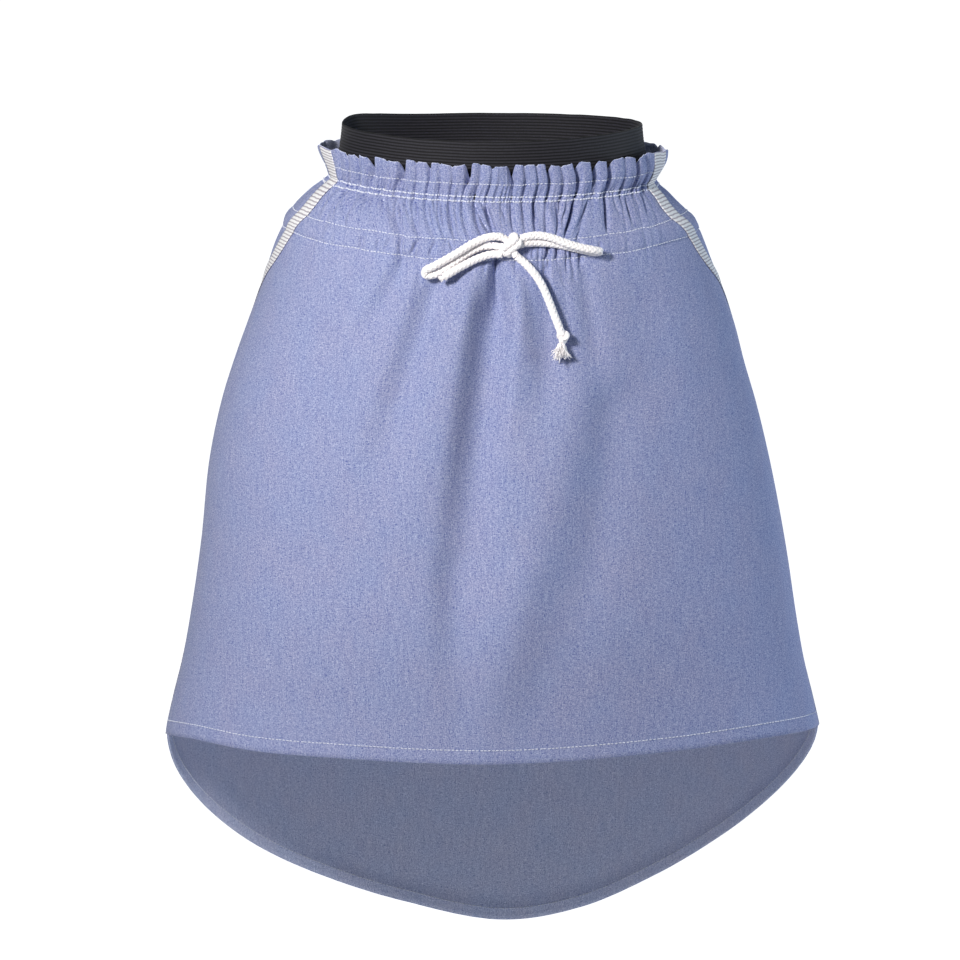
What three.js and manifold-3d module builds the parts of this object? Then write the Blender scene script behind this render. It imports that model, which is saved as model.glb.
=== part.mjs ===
// Gathered denim skirt with a wide elastic waist, a paper-bag frill, a drawstring casing, striped
// side tapes and a hem that drops at the back. Millimetres, +Z up, the front faces -Y, +X is to the
// right of someone looking at the front. The origin is the middle of the elastic ring.
import * as THREE from "three";
import ManifoldModule from "manifold-3d";

const wasm = await ManifoldModule();
wasm.setup();

// Cloth
const WALL = 1.3;
const HEM_WALL = 2.5;
const HEM_HIGH = 13;
// the front leans back in towards its hem, most in the middle
const HEM_TURN_FRONT = 20;
const HEM_TURN_FROM = 350;
const HEM_TURN_TO = 510;
const SEAM_GAP = 0.3;
const EDGE_TRIM = 0.38;
const TAPE_WALL = 1.0;
const TAPE_WIDE = 16.5;
const TAPE_EASE = 0.55;

// Heights. "below" is always measured down from the gather seam, where the frill meets the skirt.
const SEAM_Z = -18;
const SEAM_DIP_FRONT = 5;
const SEAM_DIP_BACK = 1;
const SEAM_TILT = 1.8;
const FRILL_HIGH = 28;
const GATHER_ROWS = 4;
const CASING_TOP = 35;
const CASING_END = 51;
// the casing runs this much higher at the sides than at the middle
const CASING_LIFT = 7.5;
const GATHERS_END = 68;

// Elastic
const ELASTIC_TOP_Z = 30;
const ELASTIC_TOP_DIP_FRONT = 6;
const ELASTIC_TOP_DIP_BACK = 1;
// its top edge stands higher at one place, at the back left
const ELASTIC_SHOULDER = 4.2;
const ELASTIC_SHOULDER_AT = 246;
const ELASTIC_SHOULDER_WIDE = 22;
const ELASTIC_HALF_TOP = 133.5;
const ELASTIC_HALF_SEAM = 140.9;
const ELASTIC_DEPTH_TOP = 98;
const ELASTIC_DEPTH_SEAM = 100.3;
const ELASTIC_WALL = 1.6;
const ELASTIC_UNDER = 9;
const RIB_PITCH = 2.7;
const RIB_RISE = 0.35;
const RIBS = 14;
const ELASTIC_COLUMNS = 32;

// Relief of the cloth
const PINCH = 1.6;
const CASING_PUFF = 1.7;
const FRILL_WING = 6.5;
const CREST_SWELL = 1.1;

// Drawstring
const CORD = 6.4;
const CORD_SIDES = 8;

const DEG = Math.PI / 180;

// Plan of the skirt at each height: half its width, how far it reaches to the front and back, and
// how far its middle leans to the right.
const SECTIONS = [
  { below: -28, half: 149.5, front: 109.5, back: 109.5, lean: 0.4 },
  { below: -14, half: 148.6, front: 107.0, back: 107.0, lean: 2.0 },
  { below: -4, half: 146.4, front: 104.6, back: 104.6, lean: 0.9 },
  { below: 0, half: 145.0, front: 104.0, back: 104.0, lean: 0.2 },
  { below: 4, half: 148.6, front: 105.6, back: 105.6, lean: -1.0 },
  { below: 11, half: 157.7, front: 113.0, back: 112.5, lean: -2.0 },
  { below: 18, half: 165.3, front: 118.5, back: 117.5, lean: -2.6 },
  { below: 26, half: 173.6, front: 124.0, back: 123.0, lean: -2.4 },
  { below: 33, half: 179.5, front: 128.5, back: 127.5, lean: -1.6 },
  { below: 42, half: 184.4, front: 133.0, back: 132.0, lean: -1.2 },
  { below: 56, half: 190.8, front: 139.0, back: 138.0, lean: -1.4 },
  { below: 74, half: 197.6, front: 144.0, back: 143.5, lean: -0.9 },
  { below: 92, half: 203.6, front: 147.5, back: 147.5, lean: -0.2 },
  { below: 128, half: 217.0, front: 152.5, back: 154.5, lean: -0.5 },
  { below: 164, half: 228.3, front: 157.0, back: 160.5, lean: -2.2 },
  { below: 201, half: 239.6, front: 161.5, back: 166.0, lean: -2.5 },
  { below: 255, half: 252.0, front: 166.5, back: 172.5, lean: -1.8 },
  { below: 329, half: 263.4, front: 172.0, back: 179.0, lean: 1.2 },
  { below: 402, half: 274.8, front: 176.5, back: 184.0, lean: 1.4 },
  { below: 440, half: 282.0, front: 178.5, back: 186.0, lean: 1.4 },
  { below: 477, half: 291.2, front: 180.5, back: 188.0, lean: 1.4 },
  { below: 504, half: 297.0, front: 182.0, back: 189.5, lean: 1.4 },
  { below: 600, half: 303.2, front: 185.0, back: 195.0, lean: 0.6 },
  { below: 740, half: 309.0, front: 188.0, back: 201.0, lean: 0.0 },
];

// Where each side seam runs, as an angle from the middle of the front.
const SIDE_SEAM = [
  { below: -28, angle: 75 },
  { below: 0, angle: 74 },
  { below: 25, angle: 69 },
  { below: 45, angle: 73 },
  { below: 60, angle: 75.5 },
  { below: 75, angle: 80 },
  { below: 92, angle: 88.5 },
  { below: 110, angle: 95 },
  { below: 165, angle: 98 },
  { below: 220, angle: 98 },
  { below: 400, angle: 95.5 },
  { below: 500, angle: 93.7 },
  { below: 760, angle: 93.5 },
];

// Gathers of the front, left to right: the valley's place across the skirt at the frill's top, at
// the gather seam, at the casing's top and at the gathers' end, then its depth in frill and yoke.
const FRONT_GATHERS = [
  { frill: -134, seam: -133, casing: -151, end: -160, inFrill: 0.8, inYoke: 0.6, inCasing: 0.2 },
  { frill: -127, seam: -127, casing: -139, end: -147, inFrill: 1.4, inYoke: 0.9, inCasing: 0.2 },
  { frill: -118, seam: -118, casing: -128, end: -133, inFrill: 1.6, inYoke: 1.7, inCasing: 0.4 },
  { frill: -105, seam: -107, casing: -113, end: -117, inFrill: 4.6, inYoke: 0.9, inCasing: 0.3 },
  { frill: -92, seam: -96, casing: -99, end: -102, inFrill: 0.6, inYoke: 0.8, inCasing: 0.3 },
  { frill: -78, seam: -83, casing: -78, end: -81, inFrill: 4.8, inYoke: 1.6, inCasing: 1.5 },
  { frill: -66, seam: -68, casing: -63, end: -70, inFrill: 0.7, inYoke: 2.2, inCasing: 1.3 },
  { frill: -55, seam: -57, casing: -49, end: -52, inFrill: 2.0, inYoke: 1.4, inCasing: 0.6 },
  { frill: -46, seam: -47, casing: -40, end: -41, inFrill: 0.5, inYoke: 1.1, inCasing: 0.7 },
  { frill: -35, seam: -37, casing: -32, end: -31, inFrill: 0.6, inYoke: 1.1, inCasing: 0.8 },
  { frill: -20, seam: -26, casing: -19, end: -18, inFrill: 5.4, inYoke: 1.5, inCasing: 0.7 },
  { frill: -10, seam: -16, casing: -7, end: -7, inFrill: 0.6, inYoke: 2.6, inCasing: 1.2 },
  { frill: 0, seam: -5, casing: 3, end: 3, inFrill: 1.0, inYoke: 3.4, inCasing: 3.2 },
  { frill: 17, seam: 17, casing: 20, end: 20, inFrill: 4.4, inYoke: 1.2, inCasing: 0.8 },
  { frill: 28, seam: 27, casing: 30, end: 31, inFrill: 0.6, inYoke: 0.9, inCasing: 0.6 },
  { frill: 38, seam: 37, casing: 39, end: 41, inFrill: 0.8, inYoke: 2.3, inCasing: 0.8 },
  { frill: 48, seam: 48, casing: 47, end: 50, inFrill: 4.0, inYoke: 1.0, inCasing: 1.6 },
  { frill: 60, seam: 61, casing: 54, end: 58, inFrill: 0.6, inYoke: 1.3, inCasing: 0.9 },
  { frill: 72, seam: 74, casing: 62, end: 66, inFrill: 4.0, inYoke: 2.5, inCasing: 1.5 },
  { frill: 89, seam: 86, casing: 73, end: 78, inFrill: 5.2, inYoke: 1.5, inCasing: 1.6 },
  { frill: 103, seam: 99, casing: 101, end: 103, inFrill: 3.8, inYoke: 2.2, inCasing: 0.4 },
  { frill: 115, seam: 112, casing: 116, end: 119, inFrill: 0.7, inYoke: 0.8, inCasing: 0.3 },
  { frill: 127, seam: 124, casing: 132, end: 136, inFrill: 2.8, inYoke: 1.0, inCasing: 0.3 },
  { frill: 135, seam: 133, casing: 147, end: 154, inFrill: 0.8, inYoke: 0.6, inCasing: 0.2 },
];

// Gathers of the back, in the same columns.
const BACK_GATHERS = [
  { frill: -131, seam: -130, casing: -146, end: -153, inFrill: 1.2, inYoke: 0.8, inCasing: 0.2 },
  { frill: -120, seam: -119, casing: -131, end: -138, inFrill: 3.6, inYoke: 1.3, inCasing: 0.4 },
  { frill: -105, seam: -106, casing: -115, end: -120, inFrill: 0.8, inYoke: 1.0, inCasing: 0.5 },
  { frill: -91, seam: -90, casing: -98, end: -101, inFrill: 4.6, inYoke: 1.8, inCasing: 0.8 },
  { frill: -74, seam: -76, casing: -79, end: -83, inFrill: 1.0, inYoke: 1.2, inCasing: 0.9 },
  { frill: -60, seam: -62, casing: -66, end: -67, inFrill: 4.2, inYoke: 1.5, inCasing: 0.6 },
  { frill: -46, seam: -45, casing: -47, end: -48, inFrill: 0.9, inYoke: 2.1, inCasing: 1.1 },
  { frill: -31, seam: -33, casing: -33, end: -36, inFrill: 4.9, inYoke: 1.1, inCasing: 0.7 },
  { frill: -18, seam: -17, casing: -19, end: -18, inFrill: 0.8, inYoke: 1.7, inCasing: 0.9 },
  { frill: -2, seam: -4, casing: -6, end: -4, inFrill: 3.9, inYoke: 1.4, inCasing: 0.8 },
  { frill: 13, seam: 11, casing: 12, end: 14, inFrill: 1.1, inYoke: 2.0, inCasing: 1.0 },
  { frill: 27, seam: 28, casing: 27, end: 29, inFrill: 5.0, inYoke: 1.2, inCasing: 0.6 },
  { frill: 42, seam: 41, casing: 45, end: 46, inFrill: 0.8, inYoke: 1.6, inCasing: 0.8 },
  { frill: 58, seam: 57, casing: 60, end: 62, inFrill: 4.4, inYoke: 1.3, inCasing: 1.0 },
  { frill: 73, seam: 74, casing: 79, end: 80, inFrill: 1.1, inYoke: 1.9, inCasing: 0.7 },
  { frill: 88, seam: 87, casing: 92, end: 96, inFrill: 4.1, inYoke: 1.1, inCasing: 0.5 },
  { frill: 104, seam: 104, casing: 112, end: 116, inFrill: 0.9, inYoke: 1.4, inCasing: 0.4 },
  { frill: 119, seam: 118, casing: 130, end: 137, inFrill: 3.2, inYoke: 0.9, inCasing: 0.3 },
  { frill: 131, seam: 130, casing: 145, end: 152, inFrill: 1.0, inYoke: 0.7, inCasing: 0.2 },
];

// Long soft folds. A negative rise is a trough. Each runs from its top to its bottom, x to x.
const FRONT_FOLDS = [
  { top: 44, xTop: 4, bottom: 455, xBottom: -46, bend: -13, wideTop: 10, wideBottom: 23, rise: -13.5 },
  { top: 122, xTop: 68, bottom: 470, xBottom: -2, bend: 14, wideTop: 22, wideBottom: 36, rise: 9.5 },
  { top: 140, xTop: 106, bottom: 480, xBottom: 46, bend: 12, wideTop: 18, wideBottom: 32, rise: -5.0 },
  { top: 52, xTop: 16, bottom: 410, xBottom: -12, bend: 14, wideTop: 9, wideBottom: 18, rise: 3.6 },
  { top: 46, xTop: 40, bottom: 215, xBottom: 47, bend: 0, wideTop: 6, wideBottom: 12, rise: -3.6 },
  { top: 44, xTop: 72, bottom: 215, xBottom: 92, bend: 0, wideTop: 7, wideBottom: 13, rise: -4.2 },
  { top: 42, xTop: -76, bottom: 140, xBottom: -126, bend: 0, wideTop: 7, wideBottom: 13, rise: -5.0 },
  { top: 48, xTop: -50, bottom: 300, xBottom: -126, bend: 0, wideTop: 9, wideBottom: 20, rise: -8.0 },
  { top: 56, xTop: -32, bottom: 360, xBottom: -84, bend: 0, wideTop: 13, wideBottom: 26, rise: 4.2 },
  { top: 60, xTop: 124, bottom: 300, xBottom: 150, bend: 0, wideTop: 14, wideBottom: 26, rise: -2.2 },
  { top: 100, xTop: -150, bottom: 420, xBottom: -196, bend: 0, wideTop: 18, wideBottom: 36, rise: -1.5 },
];

const BACK_FOLDS = [
  { top: 60, xTop: -8, bottom: 560, xBottom: -26, bend: -8, wideTop: 12, wideBottom: 36, rise: -10.5 },
  { top: 74, xTop: 34, bottom: 520, xBottom: 60, bend: 10, wideTop: 18, wideBottom: 38, rise: 7.5 },
  { top: 60, xTop: -78, bottom: 380, xBottom: -112, bend: 0, wideTop: 12, wideBottom: 30, rise: -5.2 },
  { top: 66, xTop: 84, bottom: 330, xBottom: 110, bend: 0, wideTop: 12, wideBottom: 28, rise: -5.6 },
  { top: 70, xTop: -40, bottom: 420, xBottom: -60, bend: 0, wideTop: 14, wideBottom: 30, rise: 3.6 },
  { top: 80, xTop: -130, bottom: 440, xBottom: -180, bend: 0, wideTop: 16, wideBottom: 34, rise: -3.0 },
  { top: 84, xTop: 138, bottom: 400, xBottom: 176, bend: 0, wideTop: 16, wideBottom: 32, rise: -2.6 },
];

// Length of each panel below the gather seam, by angle from the panel's own middle, to the right.
const FRONT_HEM = [
  { angle: -94, length: 511.5 },
  { angle: -66, length: 496.5 },
  { angle: -47, length: 494.9 },
  { angle: -29, length: 492.2 },
  { angle: 0, length: 491.5 },
  { angle: 32, length: 486.2 },
  { angle: 55, length: 485.5 },
  { angle: 76, length: 491.3 },
  { angle: 94, length: 499.0 },
];
const BACK_HEM = [
  { angle: -86.5, length: 513.0 },
  { angle: -74, length: 559.5 },
  { angle: -60, length: 607.5 },
  { angle: -45, length: 654.0 },
  { angle: -30, length: 691.0 },
  { angle: -16, length: 718.0 },
  { angle: 2, length: 738.5 },
  { angle: 16, length: 723.5 },
  { angle: 30, length: 687.0 },
  { angle: 45, length: 639.0 },
  { angle: 60, length: 588.0 },
  { angle: 74, length: 541.0 },
  { angle: 86.5, length: 501.0 },
];

const FRONT = {
  side: -1,
  depth: "front",
  gathers: FRONT_GATHERS,
  folds: FRONT_FOLDS,
  hem: FRONT_HEM,
  dip: SEAM_DIP_FRONT,
  turn: HEM_TURN_FRONT,
};
const BACK = {
  side: 1,
  depth: "back",
  gathers: BACK_GATHERS,
  folds: BACK_FOLDS,
  hem: BACK_HEM,
  dip: SEAM_DIP_BACK,
  turn: 0,
};

// Rows of points down a panel: fixed heights to the gathers' end, then shares of what is left.
const UPPER_ROWS = [-28, -21, -13, -5, 0, 4, 10, 18, 27, 34, 38.5, 43, 47.5, 52, 68];
const LOWER_SHARES = [0.04, 0.09, 0.15, 0.22, 0.31, 0.41, 0.52, 0.63, 0.74, 0.85, 0.93];
const LOWER_COLUMNS = 34;

// The drawstring lies on the casing. "out" is from the cloth to the middle of the cord.
const LOOP_LEFT = [
  { x: 8.5, below: 35.2, out: 8.8 },
  { x: 2.8, below: 34.8, out: 10.2 },
  { x: -6.3, below: 36.2, out: 10.8 },
  { x: -17.1, below: 40.8, out: 10.6 },
  { x: -27.9, below: 47.4, out: 10.4 },
  { x: -38.6, below: 53.4, out: 10.2 },
  { x: -48.6, below: 58.5, out: 9.8 },
  { x: -55.9, below: 62.0, out: 7.8 },
  { x: -56.4, below: 65.1, out: 4.8 },
  { x: -49.6, below: 64.5, out: 4.0 },
  { x: -39.4, below: 58.7, out: 3.95 },
  { x: -29.3, below: 51.8, out: 3.95 },
  { x: -19.1, below: 45.5, out: 3.95 },
  { x: -9.0, below: 41.1, out: 4.2 },
  { x: -0.5, below: 40.4, out: 5.4 },
];
const LOOP_RIGHT = [
  { x: 23.2, below: 36.0, out: 8.8 },
  { x: 31.8, below: 34.6, out: 10.2 },
  { x: 41.7, below: 35.0, out: 10.8 },
  { x: 51.6, below: 37.5, out: 10.8 },
  { x: 62.4, below: 41.6, out: 10.8 },
  { x: 74.0, below: 45.2, out: 10.8 },
  { x: 84.1, below: 47.5, out: 10.4 },
  { x: 90.0, below: 48.2, out: 7.4 },
  { x: 86.6, below: 47.7, out: 4.2 },
  { x: 76.0, below: 45.1, out: 3.95 },
  { x: 64.1, below: 41.9, out: 3.95 },
  { x: 52.2, below: 39.2, out: 3.95 },
  { x: 44.0, below: 38.3, out: 3.95 },
  { x: 35.5, below: 38.1, out: 4.6 },
  { x: 27.0, below: 38.8, out: 6.0 },
];
const END_LEFT = [
  { x: 8.3, below: 47.5, out: 6.0 },
  { x: -2.2, below: 47.6, out: 5.0 },
  { x: -14.0, below: 51.4, out: 4.6 },
  { x: -25.8, below: 57.3, out: 5.4 },
  { x: -34.8, below: 62.8, out: 7.4 },
  { x: -41.0, below: 66.8, out: 8.0 },
];
const END_RIGHT = [
  { x: 20.2, below: 49.5, out: 6.6 },
  { x: 26.8, below: 54.2, out: 5.8 },
  { x: 34.9, below: 62.5, out: 5.4 },
  { x: 41.7, below: 72.6, out: 5.2 },
  { x: 47.2, below: 84.6, out: 4.9 },
  { x: 52.3, below: 97.7, out: 4.9 },
  { x: 57.0, below: 110.1, out: 5.7 },
];
const KNOT = { x: 15.7, below: 41.6, out: 8.8, wide: 9.6, deep: 7.6, high: 11.2 };
const END_KNOT = { x: 59.3, below: 116.1, out: 6.3, wide: 6.4, deep: 6.0, high: 6.6 };
const TUFT = { x: 58.4, below: 125.9, out: 5.8, head: 3.8, strands: 18, reach: 7.8, thick: 1.5 };

const clamp = (value, low, high) => Math.min(high, Math.max(low, value));
const ease = (t) => {
  const s = clamp(t, 0, 1);
  return s * s * (3 - 2 * s);
};

// Smooth reading of a table between its rows.
function read(table, key, at, column) {
  const last = table.length - 1;
  if (at <= table[0][key]) return table[0][column];
  if (at >= table[last][key]) return table[last][column];
  let i = 0;
  while (at > table[i + 1][key]) i += 1;
  const here = table[i];
  const next = table[i + 1];
  const span = next[key] - here[key];
  const slope = (a, b) => (b[column] - a[column]) / (b[key] - a[key]);
  const middle = slope(here, next);
  const before = i > 0 ? (slope(table[i - 1], here) + middle) / 2 : middle;
  const after = i + 1 < last ? (middle + slope(next, table[i + 2])) / 2 : middle;
  const t = (at - here[key]) / span;
  const tt = t * t;
  const ttt = tt * t;
  return (
    (2 * ttt - 3 * tt + 1) * here[column] +
    (ttt - 2 * tt + t) * span * before +
    (3 * tt - 2 * ttt) * next[column] +
    (ttt - tt) * span * after
  );
}

const halfAt = (below) => read(SECTIONS, "below", below, "half");
const leanAt = (below) => read(SECTIONS, "below", below, "lean");

// Angle of the panel's edge, from the panel's own middle.
function edgeAngle(panel, below) {
  const seam = read(SIDE_SEAM, "below", below, "angle") * DEG;
  return panel.side < 0 ? seam : Math.PI - seam;
}

const hemLength = (panel, angle) => read(panel.hem, "angle", angle / DEG, "length");

// A gather's angle and depth at one height.
function gatherAt(gather, below) {
  const angleOf = (x, height) => {
    return Math.asin(clamp((x - leanAt(height)) / halfAt(height), -0.995, 0.995));
  };
  const top = angleOf(gather.frill, -FRILL_HIGH);
  const seam = angleOf(gather.seam, 0);
  const casing = angleOf(gather.casing, CASING_TOP);
  const end = angleOf(gather.end, GATHERS_END);
  let angle = end;
  if (below < 0) angle = seam + (top - seam) * clamp(-below / FRILL_HIGH, 0, 1);
  else if (below < CASING_TOP) angle = seam + (casing - seam) * (below / CASING_TOP);
  else if (below < GATHERS_END) {
    angle = casing + (end - casing) * ((below - CASING_TOP) / (GATHERS_END - CASING_TOP));
  }
  const frill = PINCH + (gather.inFrill - PINCH) * ease(-below / (FRILL_HIGH * 0.75));
  const yoke = PINCH + (gather.inYoke - PINCH) * ease((below - GATHER_ROWS) / 12);
  const casingShare = ease((below - CASING_TOP + 14) / 14);
  const skirt = yoke + (gather.inCasing - yoke) * casingShare;
  const depth = below < 0 ? frill : skirt;
  return { angle, depth: depth * (1 - ease((below - CASING_END) / 16)) };
}

// The two edges of a panel stand in for a gather with no depth.
function gathersAt(panel, below) {
  const edge = edgeAngle(panel, below);
  const list = panel.gathers.map((gather) => gatherAt(gather, below));
  return [{ angle: -edge, depth: 0 }, ...list, { angle: edge, depth: 0 }];
}

const CREST_NEAR = 0.32;

// Narrow valleys with broad flat crests between them.
function gatherRelief(panel, angle, below) {
  if (below > GATHERS_END + 10) return 0;
  const list = gathersAt(panel, below);
  let i = 0;
  while (i < list.length - 2 && angle > list[i + 1].angle) i += 1;
  const u = clamp((angle - list[i].angle) / (list[i + 1].angle - list[i].angle), 0, 1);
  const notch = (t) => (t >= CREST_NEAR ? 0 : 1 - ease(t / CREST_NEAR));
  const swell = CREST_SWELL * ease(-below / FRILL_HIGH) * Math.sin(Math.PI * u);
  return swell - list[i].depth * notch(u) - list[i + 1].depth * notch(1 - u);
}

// Broad folds hanging from the casing.
function foldRelief(panel, angle, below) {
  if (below < 42) return 0;
  const half = halfAt(below);
  const depth = read(SECTIONS, "below", below, panel.depth);
  let rise = 0;
  for (const fold of panel.folds) {
    const t = (below - fold.top) / (fold.bottom - fold.top);
    if (t <= 0 || t >= 1) continue;
    const line = fold.xTop + (fold.xBottom - fold.xTop) * t + fold.bend * Math.sin(Math.PI * t);
    const x = line - leanAt(below);
    const middle = Math.asin(clamp(x / half, -1, 1));
    const stretch = Math.hypot(half * Math.cos(middle), depth * Math.sin(middle));
    const off = Math.abs(angle - middle) * stretch;
    const wide = fold.wideTop + (fold.wideBottom - fold.wideTop) * t;
    if (off >= wide * 2) continue;
    rise += fold.rise * ease(t * 7) * ease((1 - t) * 1.6) * Math.cos((off / wide) * Math.PI / 4) ** 2;
  }
  const turned = ease((below - HEM_TURN_FROM) / (HEM_TURN_TO - HEM_TURN_FROM));
  return rise - panel.turn * turned * Math.cos(angle) ** 2;
}

// How much higher the casing runs at an angle than at the middle.
const casingLift = (angle) => CASING_LIFT * Math.sin(angle) ** 2;

// Rows of points rise with the casing, and even out above and below it.
function rowBelow(height, angle) {
  const from = (height - UPPER_ROWS[6]) / (CASING_TOP - UPPER_ROWS[6]);
  const to = (GATHERS_END - height) / (GATHERS_END - CASING_END);
  return height - casingLift(angle) * clamp(Math.min(from, to), 0, 1);
}

// The casing stands up between its two stitched edges, and the frill's corners at the side tapes.
function bandRelief(panel, angle, below) {
  const t = (below + casingLift(angle) - CASING_TOP) / (CASING_END - CASING_TOP);
  const puff = t > 0 && t < 1 ? CASING_PUFF * Math.sin(Math.PI * t) ** 0.7 : 0;
  const fromFront = panel.side < 0 ? Math.abs(angle) : Math.PI - Math.abs(angle);
  const wing = ease(-below / FRILL_HIGH) * Math.exp(-(((fromFront / DEG - 83) / 8) ** 2));
  return puff + FRILL_WING * wing;
}

function seamHeight(panel, angle) {
  return SEAM_Z - panel.dip * Math.cos(angle) ** 2 - SEAM_TILT * Math.sin(angle);
}

// The frill's top edge sinks where it folds inwards.
function topSink(panel, angle, below) {
  if (below > -8) return 0;
  const valley = Math.max(0, -gatherRelief(panel, angle, below));
  const wave = 1.1 * Math.sin(angle * 19 + 0.6) + 0.7 * Math.sin(angle * 31 + 2.1);
  return (valley * 1.6 + wave * 0.8) * ease((-below - 8) / (FRILL_HIGH - 8));
}

// A point on the outside of the cloth.
function skin(panel, angle, below) {
  const half = halfAt(below);
  const depth = read(SECTIONS, "below", below, panel.depth);
  const sin = Math.sin(angle);
  const cos = Math.cos(angle);
  const out = new THREE.Vector3(sin / half, (panel.side * cos) / depth, 0).normalize();
  const rise =
    gatherRelief(panel, angle, below) +
    foldRelief(panel, angle, below) +
    bandRelief(panel, angle, below);
  const z = seamHeight(panel, angle) - below - topSink(panel, angle, below);
  const at = new THREE.Vector3(leanAt(below) + half * sin, panel.side * depth * cos, z);
  return at.addScaledVector(out, rise);
}

// The cloth's outward direction with its small gathers left out.
function outward(panel, angle, below) {
  const plain = (a, b) => {
    const half = halfAt(b);
    const depth = read(SECTIONS, "below", b, panel.depth);
    return new THREE.Vector3(
      leanAt(b) + half * Math.sin(a),
      panel.side * depth * Math.cos(a),
      seamHeight(panel, a) - b,
    );
  };
  const across = plain(angle + 0.01, below).sub(plain(angle - 0.01, below));
  const down = plain(angle, below + 1).sub(plain(angle, below - 1));
  const normal = down.cross(across).normalize();
  return panel.side < 0 ? normal : normal.negate();
}

// Triangles between two rows of points that may differ in number. keys run upwards in each row.
function zip(upper, lower) {
  const triangles = [];
  let i = 0;
  let j = 0;
  while (i < upper.length - 1 || j < lower.length - 1) {
    const stepUpper =
      j === lower.length - 1 ||
      (i < upper.length - 1 &&
        upper[i + 1].key + upper[i].key <= lower[j + 1].key + lower[j].key);
    if (stepUpper) {
      triangles.push([upper[i].id, lower[j].id, upper[i + 1].id]);
      i += 1;
    } else {
      triangles.push([upper[i].id, lower[j].id, lower[j + 1].id]);
      j += 1;
    }
  }
  return triangles;
}

// A closed wall: rows of outer points, the same points moved in by each one's wall, and its rims.
// Rows run left to right seen from outside.
function wallGeometry(rows) {
  const points = [];
  for (const row of rows) {
    for (const node of row) {
      node.id = points.length;
      points.push(node);
    }
  }
  const outer = [];
  for (let r = 0; r < rows.length - 1; r += 1) outer.push(...zip(rows[r], rows[r + 1]));

  const faces = points.map(() => []);
  const side1 = new THREE.Vector3();
  const side2 = new THREE.Vector3();
  for (const [a, b, c] of outer) {
    side1.subVectors(points[b].at, points[a].at);
    side2.subVectors(points[c].at, points[a].at);
    const normal = new THREE.Vector3().crossVectors(side1, side2);
    const area = normal.length();
    if (area < 1e-9) continue;
    normal.divideScalar(area);
    for (const id of [a, b, c]) faces[id].push({ normal, area });
  }
  const inner = points.map((node, id) => {
    let normal = node.normal;
    let share = 1;
    if (!normal) {
      normal = new THREE.Vector3();
      for (const face of faces[id]) normal.addScaledVector(face.normal, face.area);
      normal.normalize();
      const mean = faces[id].reduce((sum, face) => sum + face.normal.dot(normal), 0);
      share = 1 / clamp(mean / faces[id].length, 0.8, 1);
    }
    return node.at.clone().addScaledVector(normal, -node.wall * share);
  });

  const count = points.length;
  const index = [];
  for (const [a, b, c] of outer) {
    index.push(a, b, c);
    index.push(a + count, c + count, b + count);
  }
  const rim = (a, b) => index.push(a, b, b + count, a, b + count, a + count);
  const first = rows[0];
  const last = rows[rows.length - 1];
  for (let i = 0; i < first.length - 1; i += 1) rim(first[i].id, first[i + 1].id);
  for (let i = 0; i < last.length - 1; i += 1) rim(last[i + 1].id, last[i].id);
  for (let r = 0; r < rows.length - 1; r += 1) {
    rim(rows[r + 1][0].id, rows[r][0].id);
    rim(rows[r][rows[r].length - 1].id, rows[r + 1][rows[r + 1].length - 1].id);
  }
  const positions = [];
  for (const node of points) positions.push(node.at.x, node.at.y, node.at.z);
  for (const at of inner) positions.push(at.x, at.y, at.z);
  const geometry = new THREE.BufferGeometry();
  geometry.setAttribute("position", new THREE.Float32BufferAttribute(positions, 3));
  geometry.setIndex(index);
  geometry.computeVertexNormals();
  return geometry;
}

// A panel's row of points, turned so that it runs left to right seen from outside.
function rowOf(panel, angles, belowAt, wall) {
  const row = angles.map((angle, i) => {
    const below = belowAt(angle);
    const atEdge = i === 0 || i === angles.length - 1;
    const node = { at: skin(panel, angle, below), key: angle, wall };
    if (atEdge) node.normal = outward(panel, angle, below);
    return node;
  });
  if (panel.side > 0) {
    row.reverse();
    for (const node of row) node.key = -node.key;
  }
  return row;
}

function panelRows(panel) {
  const rows = [];
  const trim = (below) => EDGE_TRIM / read(SECTIONS, "below", below, panel.depth);
  for (const below of UPPER_ROWS) {
    const list = gathersAt(panel, below);
    const angles = [];
    for (let i = 0; i < list.length - 1; i += 1) {
      const step = list[i + 1].angle - list[i].angle;
      angles.push(list[i].angle);
      angles.push(list[i].angle + step * CREST_NEAR);
      angles.push(list[i + 1].angle - step * CREST_NEAR);
    }
    const edge = edgeAngle(panel, rowBelow(below, list[0].angle)) - trim(below);
    angles[0] = -edge;
    angles.push(edge);
    rows.push(rowOf(panel, angles, (angle) => rowBelow(below, angle), WALL));
  }
  const lowerRow = (share, rise, wall) => {
    const belowAt = (angle) => {
      const end = hemLength(panel, angle) - rise;
      return GATHERS_END + (end - GATHERS_END) * share;
    };
    const edgeOn = (hand) => {
      const below = belowAt(hand * edgeAngle(panel, 500));
      return hand * (edgeAngle(panel, below) - trim(below));
    };
    const left = edgeOn(-1);
    const right = edgeOn(1);
    const angles = [];
    for (let i = 0; i <= LOWER_COLUMNS; i += 1) {
      angles.push(left + ((right - left) * i) / LOWER_COLUMNS);
    }
    return rowOf(panel, angles, belowAt, wall);
  };
  for (const share of LOWER_SHARES) rows.push(lowerRow(share, 0, WALL));
  rows.push(lowerRow(1, HEM_HIGH, WALL));
  rows.push(lowerRow(1, HEM_HIGH - 1, HEM_WALL));
  rows.push(lowerRow(1, 0, HEM_WALL));
  return rows;
}

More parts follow.
